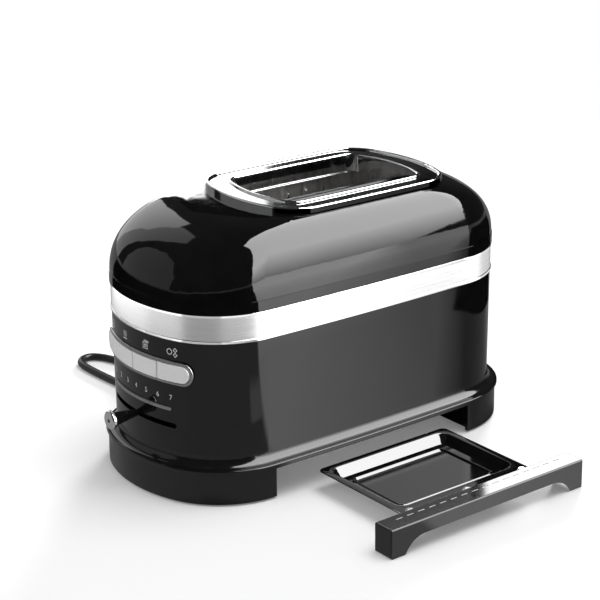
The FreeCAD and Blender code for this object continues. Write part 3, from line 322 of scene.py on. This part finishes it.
PAINT = {
    ENAMEL: ["dome_shell", "lower_shell"],
    MOULDING: ["base_moulding"],
    PAN: ["tray_pan"],
    BAR: ["tray_bar"],
    BAND: ["trim_band"],
    GRIP: ["shade_stem", "cord_gland"],
    RUBBER: ["rubber_feet"],
    FRAME_CHROME: ["slot_frame"],
    CHROME: ["shade_cap"],
    SHADED_SATIN: ["centre_divider"],
    KEY: ["button_1", "button_2", "button_3", "button_4"],
    RIM: ["button_bezel"],
    SCREW: ["base_screws", "tray_screws"],
    ZINC: ["chassis_plate", "tray_rails", "motor_bracket", "board_bracket", "rod_bridge"],
    CHAMBER: ["chamber_front_plate", "chamber_rear_plate", "near_reflector", "far_reflector"],
    MICA: ["near_heater_board", "centre_heater_board", "far_heater_board"],
    HEATER: ["near_heater_ribbon", "centre_near_ribbon", "centre_far_ribbon", "far_heater_ribbon"],
    WIRE: ["near_guard_wires", "far_guard_wires", "guide_rods"],
    RACK: ["near_bread_rack", "far_bread_rack", "lift_bracket"],
    NYLON: ["lift_rack", "drive_pinion", "terminal_block"],
    MOTOR: ["lift_motor"],
    BOARD: ["control_board"],
    CARRIER: ["key_switches", "shade_rail", "shade_slider"],
    LIGHT: ["light_bar"],
    SHEATH: ["power_cord", "cord_coil", "plug_relief"],
    BRASS: ["plug_pins"],
}
for material, painted in PAINT.items():
    for name in painted:
        slots = nodes[name].data.materials
        slots.clear()
        slots.append(material)

# --- making pieces -------------------------------------------------------------


def piece(name, shape, material, body, smooth_up_to=35):
    """Turns a finished bmesh into a piece that rides on a body."""
    for face in shape.faces:
        face.smooth = True
    sharp = math.radians(smooth_up_to)
    for edge in shape.edges:
        edge.smooth = len(edge.link_faces) == 2 and edge.calc_face_angle(0) < sharp
    mesh = bpy.data.meshes.new(name)
    shape.to_mesh(mesh)
    shape.free()
    mesh.materials.append(material)
    made = bpy.data.objects.new(name, mesh)
    bpy.context.scene.collection.objects.link(made)
    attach(made, body)
    return made


def turned(profile):
    """A closed solid of revolution about +Z. Its (radius, height) pairs start and end on the axis."""
    steps = 48
    shape = bmesh.new()
    line = [shape.verts.new((radius, 0, height)) for radius, height in profile]
    edges = [shape.edges.new(pair) for pair in zip(line, line[1:])]
    bmesh.ops.spin(
        shape,
        geom=line + edges,
        axis=(0, 0, 1),
        cent=(0, 0, 0),
        angle=2 * math.pi,
        steps=steps,
        use_merge=True,
    )
    bmesh.ops.remove_doubles(shape, verts=shape.verts, dist=1e-6)
    bmesh.ops.recalc_face_normals(shape, faces=shape.faces)
    return shape


def moved(shape, at, turn):
    """Turns a shape made at the origin, then carries it into place."""
    bmesh.ops.transform(shape, matrix=Matrix.Translation(Vector(at)) @ turn, verts=shape.verts)
    return shape


def brick(shape, middle, span, round_by=0.0, segments=3):
    """Adds a box with rounded edges to the shape."""
    size = Matrix.Diagonal((*span, 1))
    made = bmesh.ops.create_cube(shape, size=1, matrix=Matrix.Translation(Vector(middle)) @ size)
    if round_by:
        edges = {edge for vert in made["verts"] for edge in vert.link_edges}
        bmesh.ops.bevel(
            shape,
            geom=list(edges),
            offset=round_by,
            affect="EDGES",
            segments=segments,
            profile=0.5,
            material=-1,
        )


# --- printed marks -------------------------------------------------------------

# The control end is part of a cone: its axis, and its radius low and high on the shell.
AXIS_X = -46.5 * MM
SHELL_LOW, SHELL_TOP = 37.0 * MM, 122.7 * MM
RADIUS_LOW, RADIUS_TOP = 110.8 * MM, 111.7 * MM
MARK_PROUD = 0.08 * MM
MARK_LINE = 0.55 * MM
# Degrees round that cone from key to key, and from one shade number to the next.
KEY_PITCH, SHADE_STEP = 13.7, 6.33
ICON_HEIGHT, DIGIT_HEIGHT = 113.6 * MM, 78.2 * MM


def onto_shell(shape, bearing, height):
    """Wraps a flat mark, drawn about the origin, on the control end at that bearing in degrees."""
    for vert in shape.verts:
        across, up, proud = vert.co
        z = height + up
        share = (z - SHELL_LOW) / (SHELL_TOP - SHELL_LOW)
        radius = RADIUS_LOW + (RADIUS_TOP - RADIUS_LOW) * share
        turn = math.radians(bearing) + across / radius
        reach = radius + proud
        vert.co = (AXIS_X - reach * math.cos(turn), -reach * math.sin(turn), z)


def flat_place(at, turn):
    """A place on the flat sheet that the marks are drawn on, turned by that many degrees."""
    return Matrix.Translation((*at, 0)) @ Matrix.Rotation(math.radians(turn), 4, "Z")


def unit_square(shape, place):
    """Adds a square face, one unit across before it is placed, and returns its corners."""
    return bmesh.ops.create_grid(shape, x_segments=1, y_segments=1, size=0.5, matrix=place)["verts"]


def stroke(shape, at, span, turn=0.0):
    """A straight printed line."""
    unit_square(shape, flat_place(at, turn) @ Matrix.Diagonal((*span, 1, 1)))


def outline(shape, at, across, sides=4, turn=45.0):
    """A printed ring: a square, a diamond or a circle."""
    made = bmesh.ops.create_circle(
        shape, cap_ends=True, segments=sides, radius=across / 2, matrix=flat_place(at, turn)
    )
    inner = made["verts"][0].link_faces[0]
    bmesh.ops.inset_region(
        shape, faces=[inner], thickness=MARK_LINE, use_boundary=True, use_even_offset=True
    )
    bmesh.ops.delete(shape, geom=[inner], context="FACES")


def stop_mark(shape):
    """A circle with a stroke through it."""
    across, slash = 6.4 * MM, 5.6 * MM
    outline(shape, (0, 0), across, sides=28)
    stroke(shape, (0, 0), (slash, MARK_LINE), 45)


def warm_mark(shape):
    """Three rising strokes over a level one."""
    apart, lift, tall = 1.7 * MM, 0.8 * MM, 4.4 * MM
    for k in (-1, 0, 1):
        stroke(shape, (k * apart, lift), (MARK_LINE, tall))
    plate_at, plate_wide = (0, -2.8 * MM), 5.4 * MM
    stroke(shape, plate_at, (plate_wide, MARK_LINE * 1.4))


def sandwich_mark(shape):
    """A slice with its filling, under a slanted lid."""
    drop, slice_wide, filling_wide = -0.6 * MM, 7.4 * MM, 3.2 * MM
    outline(shape, (0, drop), slice_wide)
    outline(shape, (0.2 * MM, drop), filling_wide)
    lid_at, lid_wide, slant = (1.6 * MM, 2.9 * MM), 5.2 * MM, -8
    stroke(shape, lid_at, (lid_wide, MARK_LINE * 1.3), slant)


def frozen_mark(shape):
    """An eight-sided flake beside two diamonds."""
    flake_at, flake_wide = (-2.7 * MM, 0.2 * MM), 5.0 * MM
    outline(shape, flake_at, flake_wide, sides=8, turn=22.5)
    aside, apart, diamond = 2.3 * MM, 1.8 * MM, 3.9 * MM
    for k in (-1, 1):
        outline(shape, (aside, k * apart), diamond, turn=0)


def digit(shape, number):
    """Adds a plain numeral about the origin."""
    letter = bpy.data.curves.new("digit", "FONT")
    letter.body = str(number)
    letter.size = 5.4 * MM
    letter.align_x = "CENTER"
    letter.align_y = "CENTER"
    holder = bpy.data.objects.new("digit", letter)
    flat = bpy.data.meshes.new_from_object(holder)
    shape.from_mesh(flat)
    bpy.data.objects.remove(holder)
    bpy.data.curves.remove(letter)
    bpy.data.meshes.remove(flat)


def join_marks(whole, mark, bearing, height):
    """Gives a flat mark its thickness, wraps it and adds it to the others."""
    bmesh.ops.remove_doubles(mark, verts=mark.verts, dist=1e-7)
    bmesh.ops.recalc_face_normals(mark, faces=mark.faces)
    for face in mark.faces:
        if face.normal.z < 0:
            face.normal_flip()
    top = bmesh.ops.extrude_face_region(mark, geom=list(mark.faces))["geom"]
    lifted = [part for part in top if isinstance(part, bmesh.types.BMVert)]
    bmesh.ops.translate(mark, verts=lifted, vec=(0, 0, MARK_PROUD))
    bmesh.ops.recalc_face_normals(mark, faces=mark.faces)
    onto_shell(mark, bearing, height)
    mesh = bpy.data.meshes.new("mark")
    mark.to_mesh(mesh)
    mark.free()
    whole.from_mesh(mesh)
    bpy.data.meshes.remove(mesh)


def print_panel():
    """Marks over the four keys, and the shade numbers."""
    whole = bmesh.new()
    for k, draw in enumerate((stop_mark, warm_mark, sandwich_mark, frozen_mark)):
        mark = bmesh.new()
        draw(mark)
        join_marks(whole, mark, (k - 1.5) * KEY_PITCH, ICON_HEIGHT)
    middle_number = 4
    for number in range(1, 8):
        mark = bmesh.new()
        digit(mark, number)
        join_marks(whole, mark, (number - middle_number) * SHADE_STEP, DIGIT_HEIGHT)
    piece("panel_marks", whole, INK, "chassis", smooth_up_to=20)


print_panel()

# --- crumb tray ----------------------------------------------------------------

PAN_LOW, PAN_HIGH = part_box("tray_pan")
FLANGE_AT_BAR = 15 * MM
FLANGE = 5.5 * MM
SHEET = 0.8 * MM
RIM_DROP = 0.95 * MM
RIM_RISE = 0.35 * MM
PANEL_IN = 11 * MM
RIM_CORNER, MOUTH_CORNER, PANEL_CORNER = 4.5 * MM, 9 * MM, 6 * MM
# Each step is how far inwards and how far down it goes, in millimetres.
RIM_STEPS = ((0.25, -0.4), (0.45, -0.2))
BOWL_STEPS = ((0.5, 0.2), (0.5, 0.6), (4.4, 5.6), (0.6, 0.4))
BEAD_STEPS = ((0.6, -0.5), (0.5, -0.1), (0.5, 0.1), (0.7, 0.9), (0.8, 0.5))


def rounded_frame(shape, x_half, y_low, y_high, z, radius):
    """Adds one flat face: a rectangle with rounded corners."""
    middle = Vector((0, (y_low + y_high) / 2, z))
    size = Matrix.Diagonal((2 * x_half, y_high - y_low, 1, 1))
    bmesh.ops.bevel(
        shape,
        geom=unit_square(shape, Matrix.Translation(middle) @ size),
        offset=radius,
        affect="VERTICES",
        segments=6,
        profile=0.5,
        material=-1,
    )
    return [f for f in shape.faces if all(abs(v.co.z - z) < 1e-6 for v in f.verts)][-1]


def press(shape, face, steps):
    """Steps a face inwards and down, and leaves a sloping ring around it at each step."""
    for inward, fall in steps:
        bmesh.ops.inset_region(
            shape, faces=[face], thickness=inward * MM, depth=0, use_even_offset=True
        )
        bmesh.ops.translate(shape, verts=face.verts, vec=(0, 0, -fall * MM))


def ring_between(shape, outer_face, inner_face):
    """Swaps the outer face for a ring that runs to the inner face."""
    edges = list(outer_face.edges) + list(inner_face.edges)
    shape.faces.remove(outer_face)
    bmesh.ops.bridge_loops(shape, edges=edges)


def make_pan():
    """Pressed sheet pan: turned-down edge, flat rim, sloping bowl and a beaded panel in its floor."""
    top = PAN_HIGH.z
    half = PAN_HIGH.x
    shape = bmesh.new()
    rim = rounded_frame(shape, half, PAN_LOW.y, PAN_HIGH.y, top - RIM_DROP, RIM_CORNER)
    shape.normal_update()
    skirt = bmesh.ops.extrude_face_region(shape, geom=[rim])["geom"]
    rim_top = next(part for part in skirt if isinstance(part, bmesh.types.BMFace))
    bmesh.ops.translate(shape, verts=rim_top.verts, vec=(0, 0, RIM_RISE))
    shape.faces.remove(rim)
    press(shape, rim_top, RIM_STEPS)
    at_bar, at_back = PAN_LOW.y + FLANGE_AT_BAR, PAN_HIGH.y - FLANGE
    mouth = rounded_frame(shape, half - FLANGE, at_bar, at_back, top, MOUTH_CORNER)
    ring_between(shape, rim_top, mouth)
    press(shape, mouth, BOWL_STEPS)
    panel = rounded_frame(
        shape,
        half - FLANGE - PANEL_IN,
        at_bar + PANEL_IN,
        at_back - PANEL_IN,
        mouth.verts[0].co.z,
        PANEL_CORNER,
    )
    ring_between(shape, mouth, panel)
    press(shape, panel, BEAD_STEPS)
    bmesh.ops.recalc_face_normals(shape, faces=shape.faces)
    if panel.normal.z < 0:
        bmesh.ops.reverse_faces(shape, faces=shape.faces)
    bmesh.ops.solidify(shape, geom=list(shape.faces), thickness=SHEET)
    made = piece("pressed_pan", shape, PAN, "crumb_tray", smooth_up_to=32)
    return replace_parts(made, "tray_pan")


def make_vent_inlay():
    """Painted light: pale strips in the slits along the bar's top, standing for light seen through
    them.
    """
    low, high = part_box("tray_bar")
    vents, end_in, start_share, length_share = 16, 12 * MM, 0.2, 0.6
    pitch = (high.x - low.x - 2 * end_in) / vents
    bar_deep, groove_share, groove_half = 18 * MM, 0.62, 0.55 * MM
    groove_y = low.y + bar_deep * groove_share + groove_half
    strip_z = high.z - 0.55 * MM
    strip = (pitch * length_share - 0.2 * MM, 0.9 * MM, 0.8 * MM)
    whole = bmesh.new()
    for k in range(vents):
        start = low.x + end_in + (k + start_share) * pitch
        middle = (start + pitch * length_share / 2, groove_y, strip_z)
        brick(whole, middle, strip, round_by=0.1 * MM, segments=1)
    return piece("slit_light_strips", whole, SLIT_LIGHT_PAINT, "crumb_tray")


pan = make_pan()
slit_light = make_vent_inlay()

# --- mains lead ----------------------------------------------------------------

LEAD_RADIUS = 3.25 * MM
# The route and the coil are in millimetres. The route starts at the relief's tip.
LEAD_ROUTE = [
    (-66, 114.5, 13),
    (-66.6, 133, 9.5),
    (-67.6, 152, 5),
    (-69, 174, 3.35),
    (-70.5, 200, 3.35),
    (-71, 224, 3.35),
    (-66.5, 237, 3.35),
    (-55.5, 241, 3.35),
    (-46.5, 231, 3.35),
    (-41, 213, 3.35),
    (-30, 195, 3.35),
    (-10, 184, 3.35),
    (14, 186, 3.35),
    (35, 196, 3.35),
    (52, 202, 3.35),
]
COIL_AT = (70, 166)
COIL_OUT, COIL_IN = 39.9, 33.1
COIL_LOW, COIL_HIGH = 3.35, 9.95
# Where round the coil, in degrees, the lead goes in, up a layer and out again.
GOES_IN, GOES_UP, GOES_OUT = (285, 335), (595, 645), (905, 960)
PLUG_AT = Vector((36, 126.65, 10.2)) * MM


def eased(angle, start, stop, before, after):
    """Goes gently from the value before to the value after, between two angles."""
    share = min(max((angle - start) / (stop - start), 0), 1)
    return before + (after - before) * share * share * (3 - 2 * share)


def coil_point(angle):
    """The lead's middle after that many degrees round the coil, clockwise from its far side."""
    radius = eased(angle, *GOES_IN, COIL_OUT, COIL_IN)
    radius += eased(angle, *GOES_OUT, 0, COIL_OUT - COIL_IN)
    height = eased(angle, *GOES_UP, COIL_LOW, COIL_HIGH)
    turn = math.radians(90 - angle)
    return (COIL_AT[0] + radius * math.cos(turn), COIL_AT[1] + radius * math.sin(turn), height)


def lead_points():
    """The route, then three and a half turns of coil, then straight into the plug's tail."""
    last_angle, per_turn = 1260, 16
    step = 360 / per_turn
    coil = [coil_point(step * k) for k in range(int(last_angle / step) + 1)]
    tail = [(60, 126.65, 10.1), (50, 126.65, 10.2), (40, 126.65, 10.2)]
    return [Vector(spot) * MM for spot in LEAD_ROUTE + coil + tail]


def make_lead():
    """The whole lead as one smooth tube."""
    line = bpy.data.curves.new("mains_lead", "CURVE")
    line.dimensions = "3D"
    line.bevel_depth = LEAD_RADIUS
    line.bevel_resolution = 5
    line.resolution_u = 6
    line.use_fill_caps = True
    spots = lead_points()
    spline = line.splines.new("NURBS")
    spline.points.add(len(spots) - 1)
    for point, spot in zip(spline.points, spots):
        point.co = (*spot, 1)
    spline.order_u = 3
    spline.use_endpoint_u = True
    line.materials.append(SHEATH)
    made = bpy.data.objects.new("mains_lead", line)
    bpy.context.scene.collection.objects.link(made)
    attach(made, "chassis")
    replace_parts(made, "power_cord", "cord_coil")
    return made


def make_relief():
    """Tapered rubber sleeve with flexing grooves, out of the base's back wall."""
    start, wall_out, tip = 74.5 * MM, 88.5 * MM, 114.5 * MM
    root, end = 4.6 * MM, 3.85 * MM
    ribs, groove_deep, tip_round = 7, 0.75 * MM, 0.1 * MM
    profile = [(0, 0), (root, 0), (root, wall_out - start)]
    pitch = (tip - wall_out) / ribs
    for k in range(ribs):
        here = wall_out - start + k * pitch
        outer = root + (end - root) * k / ribs
        groove = outer - groove_deep
        for radius, share in ((outer, 0.08), (outer, 0.5), (groove, 0.62), (groove, 0.92)):
            profile.append((radius, here + share * pitch))
    profile += [(end - tip_round, tip - start), (0, tip - start)]
    backwards = Matrix.Rotation(math.radians(-90), 4, "X")
    sleeve = moved(turned(profile), (-66 * MM, start, 13 * MM), backwards)
    made = piece("lead_sleeve", sleeve, SHEATH, "chassis", smooth_up_to=50)
    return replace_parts(made, "strain_relief")


def make_plug():
    """Moulded plug: a stepped body, finger ribs on both sides and a rim round the pins."""
    length, wide, tall = 38 * MM, 26 * MM, 20 * MM
    rim, grip_in = 7 * MM, 5 * MM
    tail = PLUG_AT.x
    shape = bmesh.new()
    grip_at = (tail - length / 2 + 2 * MM, PLUG_AT.y, PLUG_AT.z)
    brick(shape, grip_at, (length - 4 * MM, wide - grip_in, tall - 1 * MM), 3.4 * MM, 4)
    rim_at = (tail - length + rim / 2, PLUG_AT.y, PLUG_AT.z)
    brick(shape, rim_at, (rim, wide, tall), 1.6 * MM)
    ribs, first_rib, rib_pitch, rib_in = 6, 8 * MM, 3.4 * MM, 2.4 * MM
    rib_span, rib_round = (1.6 * MM, 2.2 * MM, tall - 6 * MM), 0.5 * MM
    for side in (-1, 1):
        aside = side * (wide / 2 - rib_in)
        for k in range(ribs):
            at = (tail - first_rib - k * rib_pitch, PLUG_AT.y + aside, PLUG_AT.z)
            brick(shape, at, rib_span, rib_round, 2)
    made = piece("plug_shell", shape, SHEATH, "chassis")
    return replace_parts(made, "plug_body")


def make_tie():
    """Hook-and-loop strap round the coil's four strands."""
    # The strands' middle is in millimetres, as the coil is.
    strands_out, strands_up = 36.4, 6.8
    loop, loop_corner, thickness = (15.6 * MM, 9 * MM, 13.5 * MM), 3.2 * MM, 0.8 * MM
    shape = bmesh.new()
    brick(shape, Vector((COIL_AT[0] + strands_out, COIL_AT[1], strands_up)) * MM, loop)
    along = [e for e in shape.edges if abs(e.verts[0].co.y - e.verts[1].co.y) > MM]
    bmesh.ops.bevel(
        shape,
        geom=along,
        offset=loop_corner,
        affect="EDGES",
        segments=5,
        profile=0.5,
        material=-1,
    )
    ends = [f for f in shape.faces if abs(f.normal.y) > 0.9]
    bmesh.ops.delete(shape, geom=ends, context="FACES")
    bmesh.ops.recalc_face_normals(shape, faces=shape.faces)
    bmesh.ops.solidify(shape, geom=list(shape.faces), thickness=thickness)
    return piece("coil_tie", shape, STRAP, "chassis")


lead = make_lead()
relief = make_relief()
plug = make_plug()
tie = make_tie()

# --- floor, lights and surroundings --------------------------------------------


def shaded(tree, share, first, second):
    """Two shaders' mix: the first where the share is 0, the second where it is 1."""
    mix = tree.nodes.new("ShaderNodeMixShader")
    for socket, value in zip(mix.inputs, (share, first, second)):
        tree.links.new(value, socket)
    return mix.outputs[0]


def make_world():
    """Plain light all round. The camera and reflections see white."""
    world = bpy.data.worlds.new("studio")
    bpy.context.scene.world = world
    world.use_nodes = True
    tree = world.node_tree
    tree.nodes.clear()
    out = tree.nodes.new("ShaderNodeOutputWorld")
    path = tree.nodes.new("ShaderNodeLightPath")
    seen = calc(tree, "MAXIMUM", path.outputs["Is Camera Ray"], path.outputs["Is Glossy Ray"])
    shown = calc(tree, "MAXIMUM", seen, path.outputs["Is Transmission Ray"])
    shades = []
    for strength in (0.45, 1.0):
        shade = tree.nodes.new("ShaderNodeBackground")
        shade.inputs["Strength"].default_value = strength
        shade.inputs["Color"].default_value = (1, 1, 1, 1)
        shades.append(shade.outputs[0])
    tree.links.new(shaded(tree, shown, *shades), out.inputs["Surface"])


# How far the near side lies from the middle line.
NEAR_SIDE = 0.081


def side_strip(tree, across, along):
    """Painted light for gloss: the softbox's strip on the floor beside the near side, and the dimmer
    patch left of it.
    """
    past_side = calc(tree, "SUBTRACT", along, NEAR_SIDE)

    def off_ray(slope):
        """How far right a spot lies of a ray that leaves the middle of the near side."""
        return calc(tree, "SUBTRACT", across, calc(tree, "MULTIPLY", past_side, slope))

    strip = product(
        tree,
        between(tree, off_ray(0.81), low=1.9, high=0.95, start=-0.1, stop=0.085),
        between(tree, off_ray(1.03), low=1.0, high=0.2, start=0.06, stop=0.1),
        between(tree, along, low=1.0, high=1.8, start=0.31, stop=0.55),
        between(tree, along, low=1.0, high=1.4, start=0.55, stop=1.2),
    )
    left = between(tree, off_ray(0.17), low=1.0, high=0.0, start=-0.072, stop=-0.058)
    left_glow = calc(tree, "MULTIPLY", left, 0.32)
    strip = calc(tree, "MULTIPLY", strip, calc(tree, "SUBTRACT", 1.0, left))
    return calc(tree, "ADD", strip, left_glow)


def bar_patch(tree, across, along):
    """Painted light for gloss: a pale glowing patch in front of the tray's bar."""
    return product(
        tree,
        between(tree, along, low=0.0, high=1.0, start=0.2, stop=0.215),
        between(tree, along, low=1.0, high=0.0, start=0.27, stop=0.33),
        between(tree, across, low=0.0, high=0.8, start=-0.11, stop=-0.09),
        between(tree, across, low=1.0, high=0.0, start=0.13, stop=0.17),
    )


def floor_finish():
    """White to the camera, with the object's shadow. Gloss sees painted light: a glow laid out as if
    lit from the softbox's side, with painted shadow under the object.
    """
    made, tree, out = bare("floor_white")
    path = tree.nodes.new("ShaderNodeLightPath")
    axes = split(tree, spot_on(tree))
    x_off = calc(tree, "ABSOLUTE", axes["X"])
    y_off = calc(tree, "ABSOLUTE", axes["Y"])

    paper = tree.nodes.new("ShaderNodeBsdfDiffuse")
    paper.inputs["Color"].default_value = (0.9, 0.9, 0.9, 1)
    white = tree.nodes.new("ShaderNodeEmission")
    white.inputs["Strength"].default_value = 1.0
    squares = calc(tree, "ADD", calc(tree, "POWER", x_off, 2.0), calc(tree, "POWER", y_off, 2.0))
    distant = between(tree, calc(tree, "SQRT", squares), low=0.0, high=1.0, start=0.45, stop=1.1)
    least_lift = 0.15
    lift = calc(tree, "MAXIMUM", distant, least_lift)
    to_camera = calc(tree, "MULTIPLY", path.outputs["Is Camera Ray"], lift)
    lifted = shaded(tree, to_camera, paper.outputs[0], white.outputs[0])

    along = calc(tree, "MULTIPLY", axes["Y"], -1.0)
    lit_side = calc(
        tree, "MAXIMUM", side_strip(tree, axes["X"], along), bar_patch(tree, axes["X"], along)
    )
    beside = between(tree, along, low=0.0, high=1.0, start=-0.02, stop=0.03)
    behind = calc(tree, "SUBTRACT", 1.0, beside)
    behind_glow = 0.3
    glow = calc(
        tree,
        "ADD",
        calc(tree, "MULTIPLY", lit_side, beside),
        calc(tree, "MULTIPLY", behind, behind_glow),
    )
    # Painted shadow: the glow is taken away under the object.
    under = product(
        tree,
        between(tree, x_off, low=1.0, high=0.0, start=0.13, stop=0.165),
        between(tree, y_off, low=1.0, high=0.0, start=0.07, stop=0.09),
    )
    mirrored = tree.nodes.new("ShaderNodeEmission")
    glow = calc(tree, "MULTIPLY", glow, calc(tree, "SUBTRACT", 1.0, under))
    tree.links.new(glow, mirrored.inputs["Strength"])
    seen = shaded(tree, path.outputs["Is Glossy Ray"], lifted, mirrored.outputs[0])
    tree.links.new(seen, out.inputs["Surface"])
    return made


def glow_finish(name, strength, rise=None):
    """A card's glow. Rise is (height, height, strength, strength) where it grows with height."""
    made, tree, out = bare(name)
    glow = tree.nodes.new("ShaderNodeEmission")
    glow.inputs["Strength"].default_value = strength
    if rise:
        start, stop, dim, bright = rise
        height = split(tree, spot_on(tree))["Z"]
        tree.links.new(between(tree, height, dim, bright, start, stop), glow.inputs["Strength"])
    tree.links.new(glow.outputs[0], out.inputs["Surface"])
    return made


def staged(name, shape, material, in_gloss_only=True):
    """Adds a stage object. A card shows only in glossy surfaces and casts no shadow."""
    mesh = bpy.data.meshes.new(name)
    shape.to_mesh(mesh)
    shape.free()
    mesh.materials.append(material)
    made = bpy.data.objects.new(name, mesh)
    bpy.context.scene.collection.objects.link(made)
    if in_gloss_only:
        made.visible_camera = False
        made.visible_diffuse = False
        made.visible_transmission = False
        made.visible_shadow = False
    return made


# The place that the cards and lamps face.
EYE = Vector((0, 0, 0.15))


def toward(heading, climb):
    """A direction by its angle from +X and its angle above the floor, in degrees."""
    a, e = math.radians(heading), math.radians(climb)
    return Vector((math.cos(a) * math.cos(e), math.sin(a) * math.cos(e), math.sin(e)))


def card(name, middle, distance, corners, strength, rise=None, only=()):
    """A flat card square to its middle direction, whose corners lie in the directions given."""
    facing = toward(*middle)
    shape = bmesh.new()
    spots = []
    for corner in corners:
        ray = toward(*corner)
        spots.append(shape.verts.new(EYE + ray * (distance / ray.dot(facing))))
    shape.faces.new(spots)
    made = staged(name, shape, glow_finish(name, strength, rise))
    if only:
        shine_only_on(made, only)


def floor_card(name, start, stop, strength):
    """A low card on the floor round the control end, between two headings from the end's centre."""
    near, far, steps = 0.42, 2.6, 6
    shape = bmesh.new()
    middle = Vector((AXIS_X, 0, 2 * MM))
    turns = [math.radians(start + (stop - start) * k / steps) for k in range(steps + 1)]
    rings = []
    for reach in (near, far):
        spots = [middle + Vector((math.cos(t), math.sin(t), 0)) * reach for t in turns]
        rings.append([shape.verts.new(spot) for spot in spots])
    for k in range(steps):
        shape.faces.new((rings[0][k], rings[1][k], rings[1][k + 1], rings[0][k + 1]))
    return staged(name, shape, glow_finish(name, strength))


def shine_only_on(shade, names):
    """Keeps a card's shine to the nodes named."""
    lit = bpy.data.collections.new(shade.name + "_only")
    for name in names:
        lit.objects.link(nodes[name])
    shade.light_linking.receiver_collection = lit


# The directions of each card's corners, as in toward.
SOFTBOX_CORNERS = [
    (-81, -1),
    (-50, -1),
    (-38, 14),
    (-22, 25),
    (-2, 36),
    (12, 48),
    (26, 68),
    (10, 82),
    (-93, 80),
    (-85, 55),
]
SIDE_CORNERS = [(66, -1), (88, -1), (89, 30), (79, 40), (72, 38), (68, 27)]
BACK_CORNERS = [(88, -1), (101, -1), (106, 54), (88, 52), (78, 41), (89, 30)]
FAR_CORNERS = [(112, -1), (166, -1), (166, 20), (150, 40), (128, 44), (112, 34)]
FRAME_CORNERS = [(54.2, 8), (63, 8), (63, 26), (54.2, 26)]
RIM_CORNERS = [(55.7, 8), (58, -1), (67, -1), (65, 15), (61, 19.5), (57, 17)]
TRAY_CORNERS = [(38, 16), (47.5, 16), (47.5, 32), (38, 32)]
# Each card's name, middle direction, distance, corners and strength, and what else it needs.
CARDS = (
    ("softbox", (-45, 38), 4.0, SOFTBOX_CORNERS, 9.0, {"rise": (0.1, 1.6, 2.8, 9.0)}),
    ("side_panel", (73, 14), 4.0, SIDE_CORNERS, 1.4, {}),
    ("back_panel", (90, 24), 4.0, BACK_CORNERS, 0.7, {}),
    ("far_panel", (142, 16), 4.0, FAR_CORNERS, 0.4, {}),
    ("frame_card", (56, 16), 3.9, FRAME_CORNERS, 1.6, {"only": ["slot_frame"]}),
    ("rim_card", (60, 9), 3.7, RIM_CORNERS, 5.0, {"only": ["dome_shell", "slot_frame"]}),
    ("tray_card", (44, 24), 3.8, TRAY_CORNERS, 9.0, {"only": ["tray_bar", "tray_screws"]}),
)
# Where each low card for the band starts and stops, in degrees, and its strength.
BAND_CARDS = (
    (100, 150, 2.2),
    (150, 186, 1.5),
    (186, 232, 0.6),
    (232, 278, 1.1),
    (320, 342, 1.9),
    (342, 370, 0.9),
)


def make_stage():
    """The floor, the dark room that reflections see, the cards and the lamps."""
    floor = bmesh.new()
    bmesh.ops.create_grid(floor, x_segments=1, y_segments=1, size=14)
    staged("floor", floor, floor_finish(), in_gloss_only=False)
    room = bmesh.new()
    bmesh.ops.create_uvsphere(room, u_segments=48, v_segments=24, radius=12)
    bmesh.ops.reverse_faces(room, faces=room.faces)
    staged("dark_room", room, glow_finish("dark_room", 0.03))
    for name, middle, distance, corners, strength, more in CARDS:
        card(name, middle, distance, corners, strength, **more)
    lamp("top_light", at=(0.5, -0.5, 2.2), across=1.6, power=33)
    lamp("left_light", at=(-1.8, 0.3, 1.6), across=1.2, power=10)
    lamp("back_light", at=(2.1, 1.63, 0.85), across=0.8, power=88)
    for k, (start, stop, strength) in enumerate(BAND_CARDS):
        shine_only_on(floor_card(f"band_card_{k + 1}", start, stop, strength), ["trim_band"])


def lamp(name, at, across, power):
    """A square soft light aimed at the object. Gloss sees the cards instead."""
    data = bpy.data.lights.new(name, "AREA")
    data.shape = "SQUARE"
    data.size = across
    data.energy = power
    made = bpy.data.objects.new(name, data)
    made.location = at
    made.rotation_mode = "QUATERNION"
    made.rotation_quaternion = (EYE - Vector(at)).to_track_quat("-Z", "Y")
    made.visible_glossy = False
    made.visible_camera = False
    bpy.context.scene.collection.objects.link(made)


def shade_walls(material, dark, out_from):
    """Paints shade into a bright metal's colour on its upright walls that lie further out than that
    from the middle line.
    """
    tree = material.node_tree
    shader = next(n for n in tree.nodes if n.type == "BSDF_PRINCIPLED")
    normal = tree.nodes.new("ShaderNodeNewGeometry").outputs["Normal"]
    level = calc(tree, "ABSOLUTE", split(tree, normal)["Z"])
    upright = between(tree, level, low=1.0, high=0.0, start=0.15, stop=0.4)
    aside = calc(tree, "ABSOLUTE", split(tree, spot_on(tree))["Y"])
    outside = between(tree, aside, low=0.0, high=1.0, start=out_from, stop=out_from + 1 * MM)
    mix = tree.nodes.new("ShaderNodeMixRGB")
    mix.inputs[2].default_value = (*grey(dark), 1)
    tree.links.new(shader.inputs["Base Color"].links[0].from_socket, mix.inputs[1])
    tree.links.new(calc(tree, "MULTIPLY", upright, outside), mix.inputs["Fac"])
    tree.links.new(mix.outputs[0], shader.inputs["Base Color"])


# Painted shade goes only on the frame's outer walls, as a darker colour. Its inner ones light the
# slots.
shade_walls(FRAME_CHROME, dark=0.012, out_from=42.5 * MM)
make_world()
make_stage()
# The shell's gloss doesn't show the tray.
for unmirrored in (nodes["tray_bar"], nodes["tray_screws"], pan, slit_light):
    unmirrored.visible_glossy = False
bpy.context.scene.view_settings.view_transform = "Standard"
